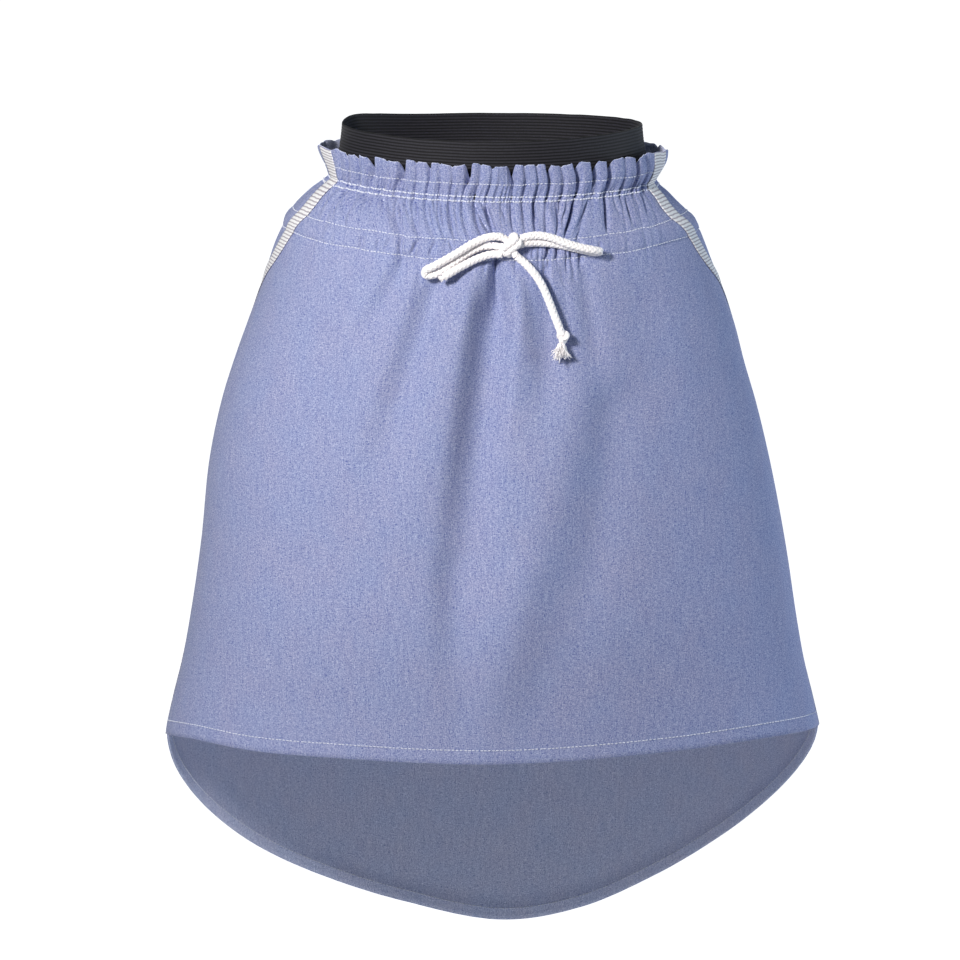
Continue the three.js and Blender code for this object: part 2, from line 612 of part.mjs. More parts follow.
// A side tape lies over the seam between the panels, from the frill's top to the hem.
function tapeRows(hand) {
  const heights = [...UPPER_ROWS];
  const end = hemLength(FRONT, hand * edgeAngle(FRONT, 500));
  for (const share of LOWER_SHARES) heights.push(GATHERS_END + (end - GATHERS_END) * share);
  heights.push(end - HEM_HIGH, end - 0.5);
  return heights.map((height) => {
    const below = rowBelow(height, edgeAngle(FRONT, height));
    const seam = edgeAngle(FRONT, below);
    const reach = TAPE_WIDE / 2 / read(SECTIONS, "below", below, "front");
    const row = [];
    for (const part of [-1, -0.5, 0, 0.5, 1]) {
      const fromFront = seam + reach * part;
      const onFront = part < 0;
      const panel = onFront ? FRONT : BACK;
      const angle = onFront ? fromFront : Math.PI - fromFront;
      const normal = outward(panel, hand * angle, below);
      const lift = SEAM_GAP + TAPE_EASE + TAPE_WALL;
      const at = skin(panel, hand * angle, below).addScaledVector(normal, lift);
      row.push({ at, key: hand * fromFront, wall: TAPE_WALL, normal });
    }
    if (hand < 0) row.reverse();
    return row;
  });
}

// A closed ring: rows of points go down its outside, up its inside and back to the first.
function ringGeometry(rows) {
  const positions = [];
  const index = [];
  const across = rows[0].length;
  for (const row of rows) for (const at of row) positions.push(at.x, at.y, at.z);
  rows.forEach((row, r) => {
    const here = r * across;
    const next = ((r + 1) % rows.length) * across;
    for (let i = 0; i < across; i += 1) {
      const j = (i + 1) % across;
      index.push(here + i, next + i, next + j);
      index.push(here + i, next + j, here + j);
    }
  });
  const geometry = new THREE.BufferGeometry();
  geometry.setAttribute("position", new THREE.Float32BufferAttribute(positions, 3));
  geometry.setIndex(index);
  geometry.computeVertexNormals();
  return geometry;
}

// The elastic: a ring with fine ribs round the part that shows, plain inside.
function elasticRows() {
  const topAt = (angle) => {
    const cos = Math.cos(angle);
    const dip = cos > 0 ? ELASTIC_TOP_DIP_FRONT : ELASTIC_TOP_DIP_BACK;
    const off = (angle / DEG - ELASTIC_SHOULDER_AT) / ELASTIC_SHOULDER_WIDE;
    return ELASTIC_TOP_Z - dip * cos * cos + ELASTIC_SHOULDER * Math.exp(-off * off);
  };
  const endAt = (angle) => {
    const panel = Math.cos(angle) > 0 ? FRONT : BACK;
    return seamHeight(panel, angle) - ELASTIC_UNDER;
  };
  const levels = [];
  const high = ELASTIC_TOP_Z - SEAM_Z + ELASTIC_UNDER;
  for (let i = 0; i < RIBS; i += 1) {
    levels.push({ share: ((i + 0.06) * RIB_PITCH) / high, rise: i ? -RIB_RISE : 0 });
    levels.push({ share: ((i + 0.5) * RIB_PITCH) / high, rise: 0 });
  }
  const seamShare = 1 - ELASTIC_UNDER / high;
  levels.push({ share: (RIBS * RIB_PITCH) / high, rise: -RIB_RISE });
  levels.push({ share: seamShare, rise: 0 });
  levels.push({ share: 1, rise: 0 });
  levels[0].share = 0;
  for (const share of [1, 0.5, 0]) levels.push({ share, rise: -ELASTIC_WALL });
  return levels.map(({ share, rise }) => {
    const t = clamp(share / seamShare, 0, 1);
    const half = ELASTIC_HALF_TOP + (ELASTIC_HALF_SEAM - ELASTIC_HALF_TOP) * t ** 1.4;
    const depth = ELASTIC_DEPTH_TOP + (ELASTIC_DEPTH_SEAM - ELASTIC_DEPTH_TOP) * t;
    const row = [];
    for (let i = 0; i < ELASTIC_COLUMNS; i += 1) {
      const angle = (i / ELASTIC_COLUMNS) * 2 * Math.PI;
      const cos = Math.cos(angle);
      const z = topAt(angle) + (endAt(angle) - topAt(angle)) * share;
      const normal = new THREE.Vector3(Math.sin(angle) / half, -cos / depth, 0).normalize();
      const at = new THREE.Vector3(half * Math.sin(angle), -depth * cos, z);
      row.push(at.addScaledVector(normal, rise));
    }
    return row;
  });
}

// A place off the front cloth, for the drawstring. The cloth's gathers are left out of it.
function offFront({ x, below, out }) {
  const half = halfAt(below);
  const angle = Math.asin((x - leanAt(below)) / half);
  const depth = read(SECTIONS, "below", below, "front");
  const at = new THREE.Vector3(x, -depth * Math.cos(angle), seamHeight(FRONT, angle) - below);
  const puffed = out + CASING_PUFF * 0.6;
  return at.addScaledVector(outward(FRONT, angle, below), puffed);
}

function cordGeometry(table, steps) {
  const path = new THREE.CatmullRomCurve3(table.map(offFront), false, "centripetal");
  const ring = new THREE.Shape();
  for (let i = 0; i < CORD_SIDES; i += 1) {
    const turn = (i / CORD_SIDES) * 2 * Math.PI;
    const x = (CORD / 2) * Math.cos(turn);
    const y = (CORD / 2) * Math.sin(turn);
    if (i) ring.lineTo(x, y);
    else ring.moveTo(x, y);
  }
  ring.closePath();
  const options = { steps, extrudePath: path, bevelEnabled: false, curveSegments: 1 };
  return new THREE.ExtrudeGeometry(ring, options);
}

// A closed round body, its surface pushed in and out by a function of direction.
function ballGeometry(centre, size, around, down, radiusAt) {
  const positions = [];
  const index = [];
  const put = (turn, tilt) => {
    const dir = new THREE.Vector3(
      Math.sin(tilt) * Math.sin(turn),
      -Math.sin(tilt) * Math.cos(turn),
      Math.cos(tilt),
    );
    const r = radiusAt(dir);
    positions.push(
      centre.x + dir.x * size.wide * r,
      centre.y + dir.y * size.deep * r,
      centre.z + dir.z * size.high * r,
    );
  };
  put(0, 0);
  for (let j = 1; j < down; j += 1) {
    for (let i = 0; i < around; i += 1) put((i / around) * 2 * Math.PI, (j / down) * Math.PI);
  }
  put(0, Math.PI);
  const last = 1 + (down - 1) * around;
  const id = (i, j) => 1 + (j - 1) * around + (i % around);
  for (let i = 0; i < around; i += 1) {
    index.push(0, id(i, 1), id(i + 1, 1));
    index.push(last, id(i + 1, down - 1), id(i, down - 1));
    for (let j = 1; j < down - 1; j += 1) {
      index.push(id(i, j), id(i, j + 1), id(i + 1, j + 1));
      index.push(id(i, j), id(i + 1, j + 1), id(i + 1, j));
    }
  }
  const geometry = new THREE.BufferGeometry();
  geometry.setAttribute("position", new THREE.Float32BufferAttribute(positions, 3));
  geometry.setIndex(index);
  geometry.computeVertexNormals();
  return geometry;
}

// Bow knot: one turn of cord crosses its front on a slant, with the strands' bulk on each side.
function bowKnot() {
  const slant = new THREE.Vector3(0.78, 0, -0.62).normalize();
  const radiusAt = (dir) => {
    const across = dir.dot(slant);
    const band = Math.exp(-((across / 0.34) ** 2));
    const sides = Math.exp(-(((Math.abs(across) - 0.72) / 0.2) ** 2));
    return 0.84 + 0.16 * band + 0.06 * sides;
  };
  return ballGeometry(offFront(KNOT), KNOT, 18, 12, radiusAt);
}

// Overhand knot on the hanging end: two turns, one over the other.
function endKnot() {
  const slant = new THREE.Vector3(0.42, 0, 0.9).normalize();
  const radiusAt = (dir) => {
    const up = dir.dot(slant);
    return 0.86 + 0.14 * Math.cos(up * 2 * Math.PI * 0.95) ** 2 * (1 - up * up) + 0.05 * dir.x;
  };
  return ballGeometry(offFront(END_KNOT), END_KNOT, 14, 11, radiusAt);
}

// Frayed end: short tapered strands fused into a small round head.
function frayedTuft() {
  const centre = offFront(TUFT);
  const solids = [wasm.Manifold.sphere(TUFT.head, 12)];
  for (let i = 0; i < TUFT.strands; i += 1) {
    const share = (i + 0.5) / TUFT.strands;
    const tilt = Math.acos(-1 + 1.15 * share);
    const turn = i * 2.39996;
    const reach = TUFT.reach * (0.84 + 0.16 * Math.sin(i * 5.1));
    const strand = wasm.Manifold.cylinder(reach, TUFT.thick, TUFT.thick * 0.32, 4, false);
    solids.push(strand.rotate([0, tilt / DEG, turn / DEG]));
  }
  const body = wasm.Manifold.union(solids).scale([1, 0.78, 1]);
  const mesh = body.translate([centre.x, centre.y, centre.z]).getMesh();
  const geometry = new THREE.BufferGeometry();
  geometry.setAttribute("position", new THREE.Float32BufferAttribute(mesh.vertProperties, 3));
  geometry.setIndex(Array.from(mesh.triVerts));
  geometry.computeVertexNormals();
  return geometry;
}

const DENIM = { color: 0x8793c2, roughness: 0.86, metalness: 0 };
const ELASTIC = { color: 0x2c2b33, roughness: 0.8, metalness: 0 };
const TAPE = { color: 0xd9d5cf, roughness: 0.8, metalness: 0 };
const STRING = { color: 0xf0ece6, roughness: 0.9, metalness: 0 };

const skirt = new THREE.Group();
skirt.name = "denim_skirt";
function add(name, geometry, look) {
  const mesh = new THREE.Mesh(geometry, new THREE.MeshStandardMaterial(look));
  mesh.name = name;
  skirt.add(mesh);
}

add("waist_elastic", ringGeometry(elasticRows()), ELASTIC);
add("front_panel", wallGeometry(panelRows(FRONT)), DENIM);
add("back_panel", wallGeometry(panelRows(BACK)), DENIM);
add("side_tape_left", wallGeometry(tapeRows(-1)), TAPE);
add("side_tape_right", wallGeometry(tapeRows(1)), TAPE);
add("bow_knot", bowKnot(), STRING);
add("bow_loop_left", cordGeometry(LOOP_LEFT, 26), STRING);
add("bow_loop_right", cordGeometry(LOOP_RIGHT, 26), STRING);
add("cord_end_left", cordGeometry(END_LEFT, 7), STRING);
add("cord_end_right", cordGeometry(END_RIGHT, 10), STRING);
add("end_knot", endKnot(), STRING);
add("end_tuft", frayedTuft(), STRING);

export default skirt;
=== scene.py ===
"""Looks of the gathered denim skirt, built in millimetres on the CAD frame and made in metres."""
import math
import bpy
import numpy as np
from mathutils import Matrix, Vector


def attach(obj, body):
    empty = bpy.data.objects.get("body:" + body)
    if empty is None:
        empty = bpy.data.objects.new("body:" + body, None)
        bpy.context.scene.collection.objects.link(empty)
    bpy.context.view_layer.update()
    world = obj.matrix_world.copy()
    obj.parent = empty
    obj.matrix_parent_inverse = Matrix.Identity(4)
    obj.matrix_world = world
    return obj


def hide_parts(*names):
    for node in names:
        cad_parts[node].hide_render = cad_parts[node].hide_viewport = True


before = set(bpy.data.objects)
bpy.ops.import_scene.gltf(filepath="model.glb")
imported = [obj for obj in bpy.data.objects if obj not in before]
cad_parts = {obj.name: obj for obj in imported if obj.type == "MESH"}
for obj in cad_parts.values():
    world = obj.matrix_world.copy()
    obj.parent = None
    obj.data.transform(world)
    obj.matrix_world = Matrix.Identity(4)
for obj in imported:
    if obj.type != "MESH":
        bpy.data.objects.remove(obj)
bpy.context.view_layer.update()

MM = 0.001
DEG = math.pi / 180
TURN = 2 * math.pi


def add_object(name, data):
    obj = bpy.data.objects.new(name, data)
    bpy.context.scene.collection.objects.link(obj)
    return obj


# Camera: the photograph's viewing angle, from a little above the waist.
VIEW_RISE = 10.5 * DEG
VIEW_FAR = 4.2
VIEW_LENS = 175
VIEW_AT = Vector((-0.0108, 0.0, -0.29176))
camera = add_object("camera", bpy.data.cameras.new("camera"))
camera.data.sensor_width = 36
camera.data.lens = VIEW_LENS
camera.data.clip_end = 200
back_dir = Vector((0, -math.cos(VIEW_RISE), math.sin(VIEW_RISE)))
camera.location = VIEW_AT + back_dir * VIEW_FAR
camera.rotation_euler = (-back_dir).to_track_quat("-Z", "Y").to_euler()
bpy.context.scene.camera = camera

# Sizes, in millimetres. "below" is measured down from the gather seam.
CLOTH = 0.9
LINING = 0.9  # more thickness below the gathers, so that no crease comes through the inner wall
HEM_CLOTH = 2.1
HEM_HIGH = 13.2
HEM_STITCH = 12.4
HEM_NEAR = 500
HEM_TURN_FROM = 350
HEM_TURN_TO = 510
SEAM_Z = -18
SEAM_TILT = 1.8
FRILL_HIGH = 28
FRILL_WING = 6.5
FRILL_STITCH = 11.5
LINE_WAVER = 0.9
CASING_TOP = 35
CASING_END = 51
CASING_LIFT = 7.5
CASING_PUFF = 1.7
GATHERS_END = 68
EVEN_OUT = 160
PINCH = 1.6
CREST_SWELL = 1.1
CREST_NEAR = 0.32
SLIT = 0.75
SLIT_WIDE = 1.25
CREASE_RISE = 1.9
PANEL_WIDE = 390
EDGE_TRIM = 0.16 / 380
TAPE_WIDE = 16.5
RIB_PITCH = 2.7
ELASTIC_TOP = 30
ELASTIC_UNDER = 9
ELASTIC_HALF = (133.5, 140.9)
ELASTIC_DEPTH = (98, 100.3)
SHOULDER = 4.2
CORD = 6.9
BRAID_LAY = 4.2

# Rows of points down a panel: outside above and below the gathers' end, and inside likewise.
OUTER_ROWS = (84, 100)
INNER_ROWS = (32, 36)
BACK_ROWS = 1.3  # times as many on the longer back

# How many random values a line of noise goes through before it repeats.
NOISE_VALUES = 4096

# Millimetres to a radian, where something runs round the skirt by its angle.
WAIST_ROUND = 130
ELASTIC_ROUND = 118
FRILL_ROUND = 140
HIP_ROUND = 230
HEM_ROUND = 290


def rows(columns, *values):
    """A table with named columns."""
    return {name: np.array([v[i] for v in values], float) for i, name in enumerate(columns.split())}


def each(table):
    """The rows of a table, each as a dict."""
    return [dict(zip(table, values)) for values in zip(*table.values())]


SECTIONS = rows(
    "below half front back lean",
    (-28, 149.5, 109.5, 109.5, 0.4), (-14, 148.6, 107.0, 107.0, 2.0),
    (-4, 146.4, 104.6, 104.6, 0.9), (0, 145.0, 104.0, 104.0, 0.2), (4, 148.6, 105.6, 105.6, -1.0),
    (11, 157.7, 113.0, 112.5, -2.0), (18, 165.3, 118.5, 117.5, -2.6),
    (26, 173.6, 124.0, 123.0, -2.4), (33, 179.5, 128.5, 127.5, -1.6),
    (42, 184.4, 133.0, 132.0, -1.2), (56, 190.8, 139.0, 138.0, -1.4),
    (74, 197.6, 144.0, 143.5, -0.9), (92, 203.6, 147.5, 147.5, -0.2),
    (128, 217.0, 152.5, 154.5, -0.5), (164, 228.3, 157.0, 160.5, -2.2),
    (201, 239.6, 161.5, 166.0, -2.5), (255, 252.0, 166.5, 172.5, -1.8),
    (329, 263.4, 172.0, 179.0, 1.2), (402, 274.8, 176.5, 184.0, 1.4),
    (440, 282.0, 178.5, 186.0, 1.4), (477, 291.2, 180.5, 188.0, 1.4),
    (504, 297.0, 182.0, 189.5, 1.4), (600, 303.2, 185.0, 195.0, 0.6),
    (740, 309.0, 188.0, 201.0, 0.0),
)
SIDE_SEAM = rows(
    "below angle",
    (-28, 75), (0, 74), (25, 69), (45, 73), (60, 75.5), (75, 80), (92, 88.5), (110, 95),
    (165, 98), (220, 98), (400, 95.5), (500, 93.7), (760, 93.5),
)
GATHER_COLUMNS = "frill seam casing end in_frill in_yoke in_casing"
FRONT_GATHERS = rows(
    GATHER_COLUMNS,
    (-134, -133, -151, -160, 0.8, 0.6, 0.2), (-127, -127, -139, -147, 1.4, 0.9, 0.2),
    (-118, -118, -128, -133, 1.6, 1.7, 0.4), (-105, -107, -113, -117, 4.6, 0.9, 0.3),
    (-92, -96, -99, -102, 0.6, 0.8, 0.3), (-78, -83, -78, -81, 4.8, 1.6, 1.5),
    (-66, -68, -63, -70, 0.7, 2.2, 1.3), (-55, -57, -49, -52, 2.0, 1.4, 0.6),
    (-46, -47, -40, -41, 0.5, 1.1, 0.7), (-35, -37, -32, -31, 0.6, 1.1, 0.8),
    (-20, -26, -19, -18, 5.4, 1.5, 0.7), (-10, -16, -7, -7, 0.6, 2.6, 1.2),
    (0, -5, 3, 3, 1.0, 3.4, 3.2), (17, 17, 20, 20, 4.4, 1.2, 0.8), (28, 27, 30, 31, 0.6, 0.9, 0.6),
    (38, 37, 39, 41, 0.8, 2.3, 0.8), (48, 48, 47, 50, 4.0, 1.0, 1.6),
    (60, 61, 54, 58, 0.6, 1.3, 0.9), (72, 74, 62, 66, 4.0, 2.5, 1.5),
    (89, 86, 73, 78, 5.2, 1.5, 1.6), (103, 99, 101, 103, 3.8, 2.2, 0.4),
    (115, 112, 116, 119, 0.7, 0.8, 0.3), (127, 124, 132, 136, 2.8, 1.0, 0.3),
    (135, 133, 147, 154, 0.8, 0.6, 0.2),
)
BACK_GATHERS = rows(
    GATHER_COLUMNS,
    (-131, -130, -146, -153, 1.2, 0.8, 0.2), (-120, -119, -131, -138, 3.6, 1.3, 0.4),
    (-105, -106, -115, -120, 0.8, 1.0, 0.5), (-91, -90, -98, -101, 4.6, 1.8, 0.8),
    (-74, -76, -79, -83, 1.0, 1.2, 0.9), (-60, -62, -66, -67, 4.2, 1.5, 0.6),
    (-46, -45, -47, -48, 0.9, 2.1, 1.1), (-31, -33, -33, -36, 4.9, 1.1, 0.7),
    (-18, -17, -19, -18, 0.8, 1.7, 0.9), (-2, -4, -6, -4, 3.9, 1.4, 0.8),
    (13, 11, 12, 14, 1.1, 2.0, 1.0), (27, 28, 27, 29, 5.0, 1.2, 0.6),
    (42, 41, 45, 46, 0.8, 1.6, 0.8), (58, 57, 60, 62, 4.4, 1.3, 1.0),
    (73, 74, 79, 80, 1.1, 1.9, 0.7), (88, 87, 92, 96, 4.1, 1.1, 0.5),
    (104, 104, 112, 116, 0.9, 1.4, 0.4), (119, 118, 130, 137, 3.2, 0.9, 0.3),
    (131, 130, 145, 152, 1.0, 0.7, 0.2),
)
FOLD_COLUMNS = "top x_top bottom x_bottom bend wide_top wide_bottom rise"
FRONT_FOLDS = rows(
    FOLD_COLUMNS,
    (44, 7, 455, -43, 0.5, 12, 19, -13.5), (122, 79, 470, -7, 6, 22, 33, 9.5),
    (140, 117, 480, 41, 4, 18, 30, -5), (52, 20, 340, 20, 3, 9, 17, 2.7),
    (46, 45, 215, 52, 0, 6, 12, -3.6), (44, 77, 215, 100, 0, 7, 13, -4.2),
    (42, -70, 140, -120, 0, 7, 12, -5), (48, -43, 300, -120, 0, 9, 18, -8),
    (56, -18, 360, -84, 0, 10, 21, 4.8), (60, 129, 300, 155, 0, 14, 26, -2.2),
    (100, -146, 420, -191, 0, 18, 36, -1.5), (44, 4, 124, 6, 0, 4, 9, -6.2),
    (50, 18, 160, 26, 3, 5, 11, 3.6), (48, 60, 150, 68, 0, 4.5, 10, -3.0),
    (52, -29, 130, -36, 0, 5, 9, -1.4), (290, 32, 520, -14, 4, 16, 20, 4.0),
    (290, -36, 500, -26, 0, 12, 14, -3.6),
)
BACK_FOLDS = rows(
    FOLD_COLUMNS,
    (60, -8, 560, -26, -8, 12, 36, -10.5), (74, 34, 520, 60, 10, 18, 38, 7.5),
    (60, -78, 380, -112, 0, 12, 30, -5.2), (66, 84, 330, 110, 0, 12, 28, -5.6),
    (70, -40, 420, -60, 0, 14, 30, 3.6), (80, -130, 440, -180, 0, 16, 34, -3),
    (84, 138, 400, 176, 0, 16, 32, -2.6), (58, 12, 130, 16, 0, 4, 8, -1.8),
    (56, -46, 120, -52, 0, 4, 8, -1.6),
)
FRONT_HEM = rows(
    "angle length",
    (-94, 511.5), (-66, 496.5), (-47, 494.9), (-29, 492.2), (0, 491.5), (32, 486.2),
    (55, 485.5), (76, 491.3), (94, 499.0),
)
BACK_HEM = rows(
    "angle length",
    (-86.5, 513), (-74, 559.5), (-60, 607.5), (-45, 654), (-30, 691), (-16, 718), (2, 738.5),
    (16, 723.5), (30, 687), (45, 639), (60, 588), (74, 541), (86.5, 501),
)
CREASES = rows(
    "x_top top x_bottom bottom wide rise",
    # from the gather seam down to the casing
    (-136, 5, -129, 25, 2.0, -1.6), (-127, 2, -133, 17, 1.6, -1.5), (-119, 5, -129, 23, 1.8, -2.4),
    (-111, 2, -114, 20, 1.6, -1.9), (-104, 4, -107, 30, 1.9, -1.4), (-97, 2, -94, 25, 1.5, -1.8),
    (-90, 2, -89, 18, 1.5, -1.6), (-84, 3, -78, 32, 1.7, -2.2), (-76, 2, -73, 24, 1.6, -1.4),
    (-68, 2, -63, 34, 1.7, -2.3), (-57, 2, -49, 33, 1.5, -1.5), (-51, 2, -50, 17, 1.3, -1.3),
    (-46, 2, -41, 32, 1.4, -1.1), (-38, 2, -33, 34, 1.5, -1.6), (-34, 7, -29, 30, 1.3, -1.0),
    (-26, 2, -19, 30, 1.5, -1.6), (-17, 2, 0, 35, 2.1, -2.9), (-9, 2, -4, 18, 1.4, -1.6),
    (-5, 5, 4, 38, 1.9, -3.2), (8, 2, 11, 20, 1.5, -1.2), (17, 2, 20, 31, 2.2, -1.2),
    (27, 2, 30, 25, 1.5, -1.1), (37, 2, 37, 22, 1.3, -2.3), (47, 3, 54, 33, 3.0, 1.7),
    (56, 2, 57, 22, 1.4, -1.2), (66, 2, 60, 28, 1.4, -1.3), (75, 2, 61, 36, 1.9, -2.6),
    (86, 3, 70, 36, 2.5, -1.6), (99, 2, 101, 36, 1.5, -2.5), (108, 3, 112, 25, 1.5, -1.1),
    (117, 2, 123, 31, 1.6, -1.5), (130, 4, 137, 25, 1.8, -0.9),
    # on the casing
    (-112, 36, -116, 50, 1.8, -1.4), (-98, 36, -101, 50, 1.6, -1.6), (-88, 35, -91, 48, 1.6, -1.2),
    (-79, 34, -80, 51, 1.4, -1.6), (-64, 36, -72, 50, 1.4, -1.6), (-50, 36, -54, 51, 1.3, -1.2),
    (-38, 32, -34, 44, 1.4, -1.5), (-28, 37, -31, 52, 1.3, -1.3), (-12, 37, -13, 54, 1.4, -1.3),
    (36, 36, 34, 52, 1.3, -1.2), (48, 37, 45, 55, 1.5, -2.0), (56, 36, 55, 54, 1.3, -1.5),
    (69, 36, 68, 55, 1.4, -1.7), (76, 35, 77, 57, 1.5, -1.9), (92, 36, 94, 51, 1.5, -1.1),
    # hanging from it
    (3, 47, 3, 88, 1.8, -1.1), (5, 76, 9, 102, 2.8, -0.7), (45, 50, 50, 84, 2.5, -1.1),
    (69, 47, 71, 78, 2.3, -1.1), (-30, 51, -32, 78, 2.4, -1.0), (-62, 51, -66, 84, 2.6, -0.8),
)
FRONT = dict(
    side=-1, depth="front", gathers=FRONT_GATHERS, folds=FRONT_FOLDS, hem=FRONT_HEM,
    dip=5, turn=20, flip=1, seed=3,
)
BACK = dict(
    side=1, depth="back", gathers=BACK_GATHERS, folds=BACK_FOLDS, hem=BACK_HEM,
    dip=1, turn=0, flip=-1, seed=11,
)

CORD_COLUMNS = "x below out"
LOOP_LEFT = rows(
    CORD_COLUMNS,
    (8.5, 35.2, 8.8), (2.8, 34.8, 10.2), (-6.3, 36.2, 10.8), (-17.1, 40.8, 10.6),
    (-27.9, 47.4, 10.4), (-38.6, 53.4, 10.2), (-48.6, 58.5, 9.8), (-55.9, 62, 7.8),
    (-56.4, 65.1, 4.8), (-49.6, 64.5, 4), (-39.4, 58.7, 3.95), (-29.3, 51.8, 3.95),
    (-19.1, 45.5, 3.95), (-9, 41.1, 4.2), (-0.5, 40.4, 5.4),
)
LOOP_RIGHT = rows(
    CORD_COLUMNS,
    (23.2, 36, 8.8), (31.8, 34.6, 10.2), (41.7, 35, 10.8), (51.6, 37.5, 10.8),
    (62.4, 41.6, 10.8), (74, 45.2, 10.8), (84.1, 47.5, 10.4), (90, 48.2, 7.4),
    (86.6, 47.7, 4.2), (76, 45.1, 3.95), (64.1, 41.9, 3.95), (52.2, 39.2, 3.95),
    (44, 38.3, 3.95), (35.5, 38.1, 4.6), (27, 38.8, 6),
)
END_LEFT = rows(
    CORD_COLUMNS,
    (8.3, 47.5, 6), (-2.2, 47.6, 5), (-14, 51.4, 4.6), (-25.8, 57.3, 5.4), (-34.8, 62.8, 7.4),
    (-41, 66.8, 8),
)
END_RIGHT = rows(
    CORD_COLUMNS,
    (20.2, 49.5, 6.6), (26.8, 54.2, 5.8), (34.9, 62.5, 5.4), (41.7, 72.6, 5.2),
    (47.2, 84.6, 4.9), (52.3, 97.7, 4.9), (57.0, 110.1, 5.7),
)
KNOT = dict(x=15.7, below=41.6, out=8.8)
END_KNOT = dict(x=59.3, below=116.1, out=6.3)
TUFT = dict(x=58.4, below=125.9, out=5.8)


def unit(v):
    """Vectors of length 1 along the given ones."""
    return v / np.linalg.norm(v, axis=-1, keepdims=True)


def distances(line):
    """How far along a line each of its points is."""
    return np.concatenate(([0], np.cumsum(np.linalg.norm(np.diff(line, axis=0), axis=1))))


def ease(t):
    s = np.clip(t, 0, 1)
    return s * s * (3 - 2 * s)


def read(table, key, at, column):
    """Smooth reading of a table between its rows, flat beyond its ends."""
    x, y = table[key], table[column]
    slope = np.diff(y) / np.diff(x)
    m = np.concatenate(([slope[0]], (slope[1:] + slope[:-1]) / 2, [slope[-1]]))
    at = np.clip(np.asarray(at, float), x[0], x[-1])
    i = np.clip(np.searchsorted(x, at, "right") - 1, 0, len(x) - 2)
    h = x[i + 1] - x[i]
    t = (at - x[i]) / h
    return (
        (2 * t**3 - 3 * t**2 + 1) * y[i]
        + (t**3 - 2 * t**2 + t) * h * m[i]
        + (3 * t**2 - 2 * t**3) * y[i + 1]
        + (t**3 - t**2) * h * m[i + 1]
    )


def half_at(below):
    return read(SECTIONS, "below", below, "half")


def lean_at(below):
    return read(SECTIONS, "below", below, "lean")


def edge_angle(panel, below):
    seam = read(SIDE_SEAM, "below", below, "angle") * DEG
    return seam if panel["side"] < 0 else math.pi - seam


def hem_length(panel, angle):
    """How far below the gather seam the hem is."""
    return read(panel["hem"], "angle", angle / DEG, "length")


def seam_height(panel, angle):
    return SEAM_Z - panel["dip"] * np.cos(angle) ** 2 - SEAM_TILT * np.sin(angle)


def casing_lift(angle):
    """How much higher the casing runs at an angle than at the middle."""
    return CASING_LIFT * np.sin(angle) ** 2


def gather_angles(panel, below):
    """Angles of the panel's edges and gathers: an array with one row for each."""
    table = panel["gathers"]
    below = np.asarray(below, float)

    def level(name, height):
        x = (table[name] - lean_at(height)) / half_at(height)
        return np.arcsin(np.clip(x, -0.995, 0.995))[:, None]

    top, seam = level("frill", -FRILL_HIGH), level("seam", 0)
    casing, end = level("casing", CASING_TOP), level("end", GATHERS_END)
    flat = below.ravel()[None, :]
    edge = edge_angle(panel, flat)
    frill = seam + (top - seam) * np.clip(-flat / FRILL_HIGH, 0, 1)
    yoke = seam + (casing - seam) * flat / CASING_TOP
    share = np.clip((flat - CASING_TOP) / (GATHERS_END - CASING_TOP), 0, 1)
    skirt = casing + (end - casing) * share
    angle = np.where(flat < 0, frill, np.where(flat < CASING_TOP, yoke, skirt))
    past = np.maximum(flat, GATHERS_END)
    angle = angle * edge_angle(panel, past) / edge_angle(panel, GATHERS_END)
    return np.concatenate((-edge, angle, edge))


def gather_shares(panel):
    """Where each gather stands across the cloth, from 0 to 1."""
    a = gather_angles(panel, np.array([0.0]))[:, 0]
    return (a - a[0]) / (a[-1] - a[0])


def gaps(panel, u):
    """For columns u: which gap between gathers each is in, how far across it, and its width."""
    shares = gather_shares(panel)
    k = np.clip(np.searchsorted(shares, u.ravel(), "right") - 1, 0, len(shares) - 2)
    wide = shares[k + 1] - shares[k]
    return k, np.arange(k.size), (u.ravel() - shares[k]) / wide, wide


def angle_of(panel, u, below):
    """Angle of the cloth's column u at a height. Columns follow the gathers, then even out."""
    u, below = np.broadcast_arrays(np.asarray(u, float), np.asarray(below, float))
    k, n, f, _ = gaps(panel, u)
    angles = gather_angles(panel, below)
    near = angles[k, n] + (angles[k + 1, n] - angles[k, n]) * f
    even = angles[0] + (angles[-1] - angles[0]) * u.ravel()
    mix = ease((below.ravel() - GATHERS_END) / EVEN_OUT)
    return (near + (even - near) * mix).reshape(u.shape)


def noise(seed, pitch, x):
    """Soft random values from -1 to 1 along a line, one for each pitch."""
    values = np.random.default_rng(seed).uniform(-1, 1, NOISE_VALUES)
    t = np.asarray(x, float) / pitch + NOISE_VALUES / 8
    i = np.floor(t).astype(int)
    f = t - i
    f = f * f * (3 - 2 * f)
    return values[i % NOISE_VALUES] * (1 - f) + values[(i + 1) % NOISE_VALUES] * f


def bell(x, wide):
    return np.exp(-((x / wide) ** 2))


def gather_depths(panel, below):
    table = panel["gathers"]
    flat = np.asarray(below, float).ravel()[None, :]
    in_frill, in_yoke, in_casing = (table[c][:, None] for c in ("in_frill", "in_yoke", "in_casing"))
    frill = PINCH + (in_frill - PINCH) * ease(-flat / (FRILL_HIGH * 0.75))
    yoke = PINCH + (in_yoke - PINCH) * ease((flat - 4) / 12)
    skirt = yoke + (in_casing - yoke) * ease((flat - CASING_TOP + 14) / 14)
    depth = np.where(flat < 0, frill, skirt) * (1 - ease((flat - CASING_END) / 16))
    none = np.zeros_like(depth[:1])
    return np.concatenate((none, depth, none))


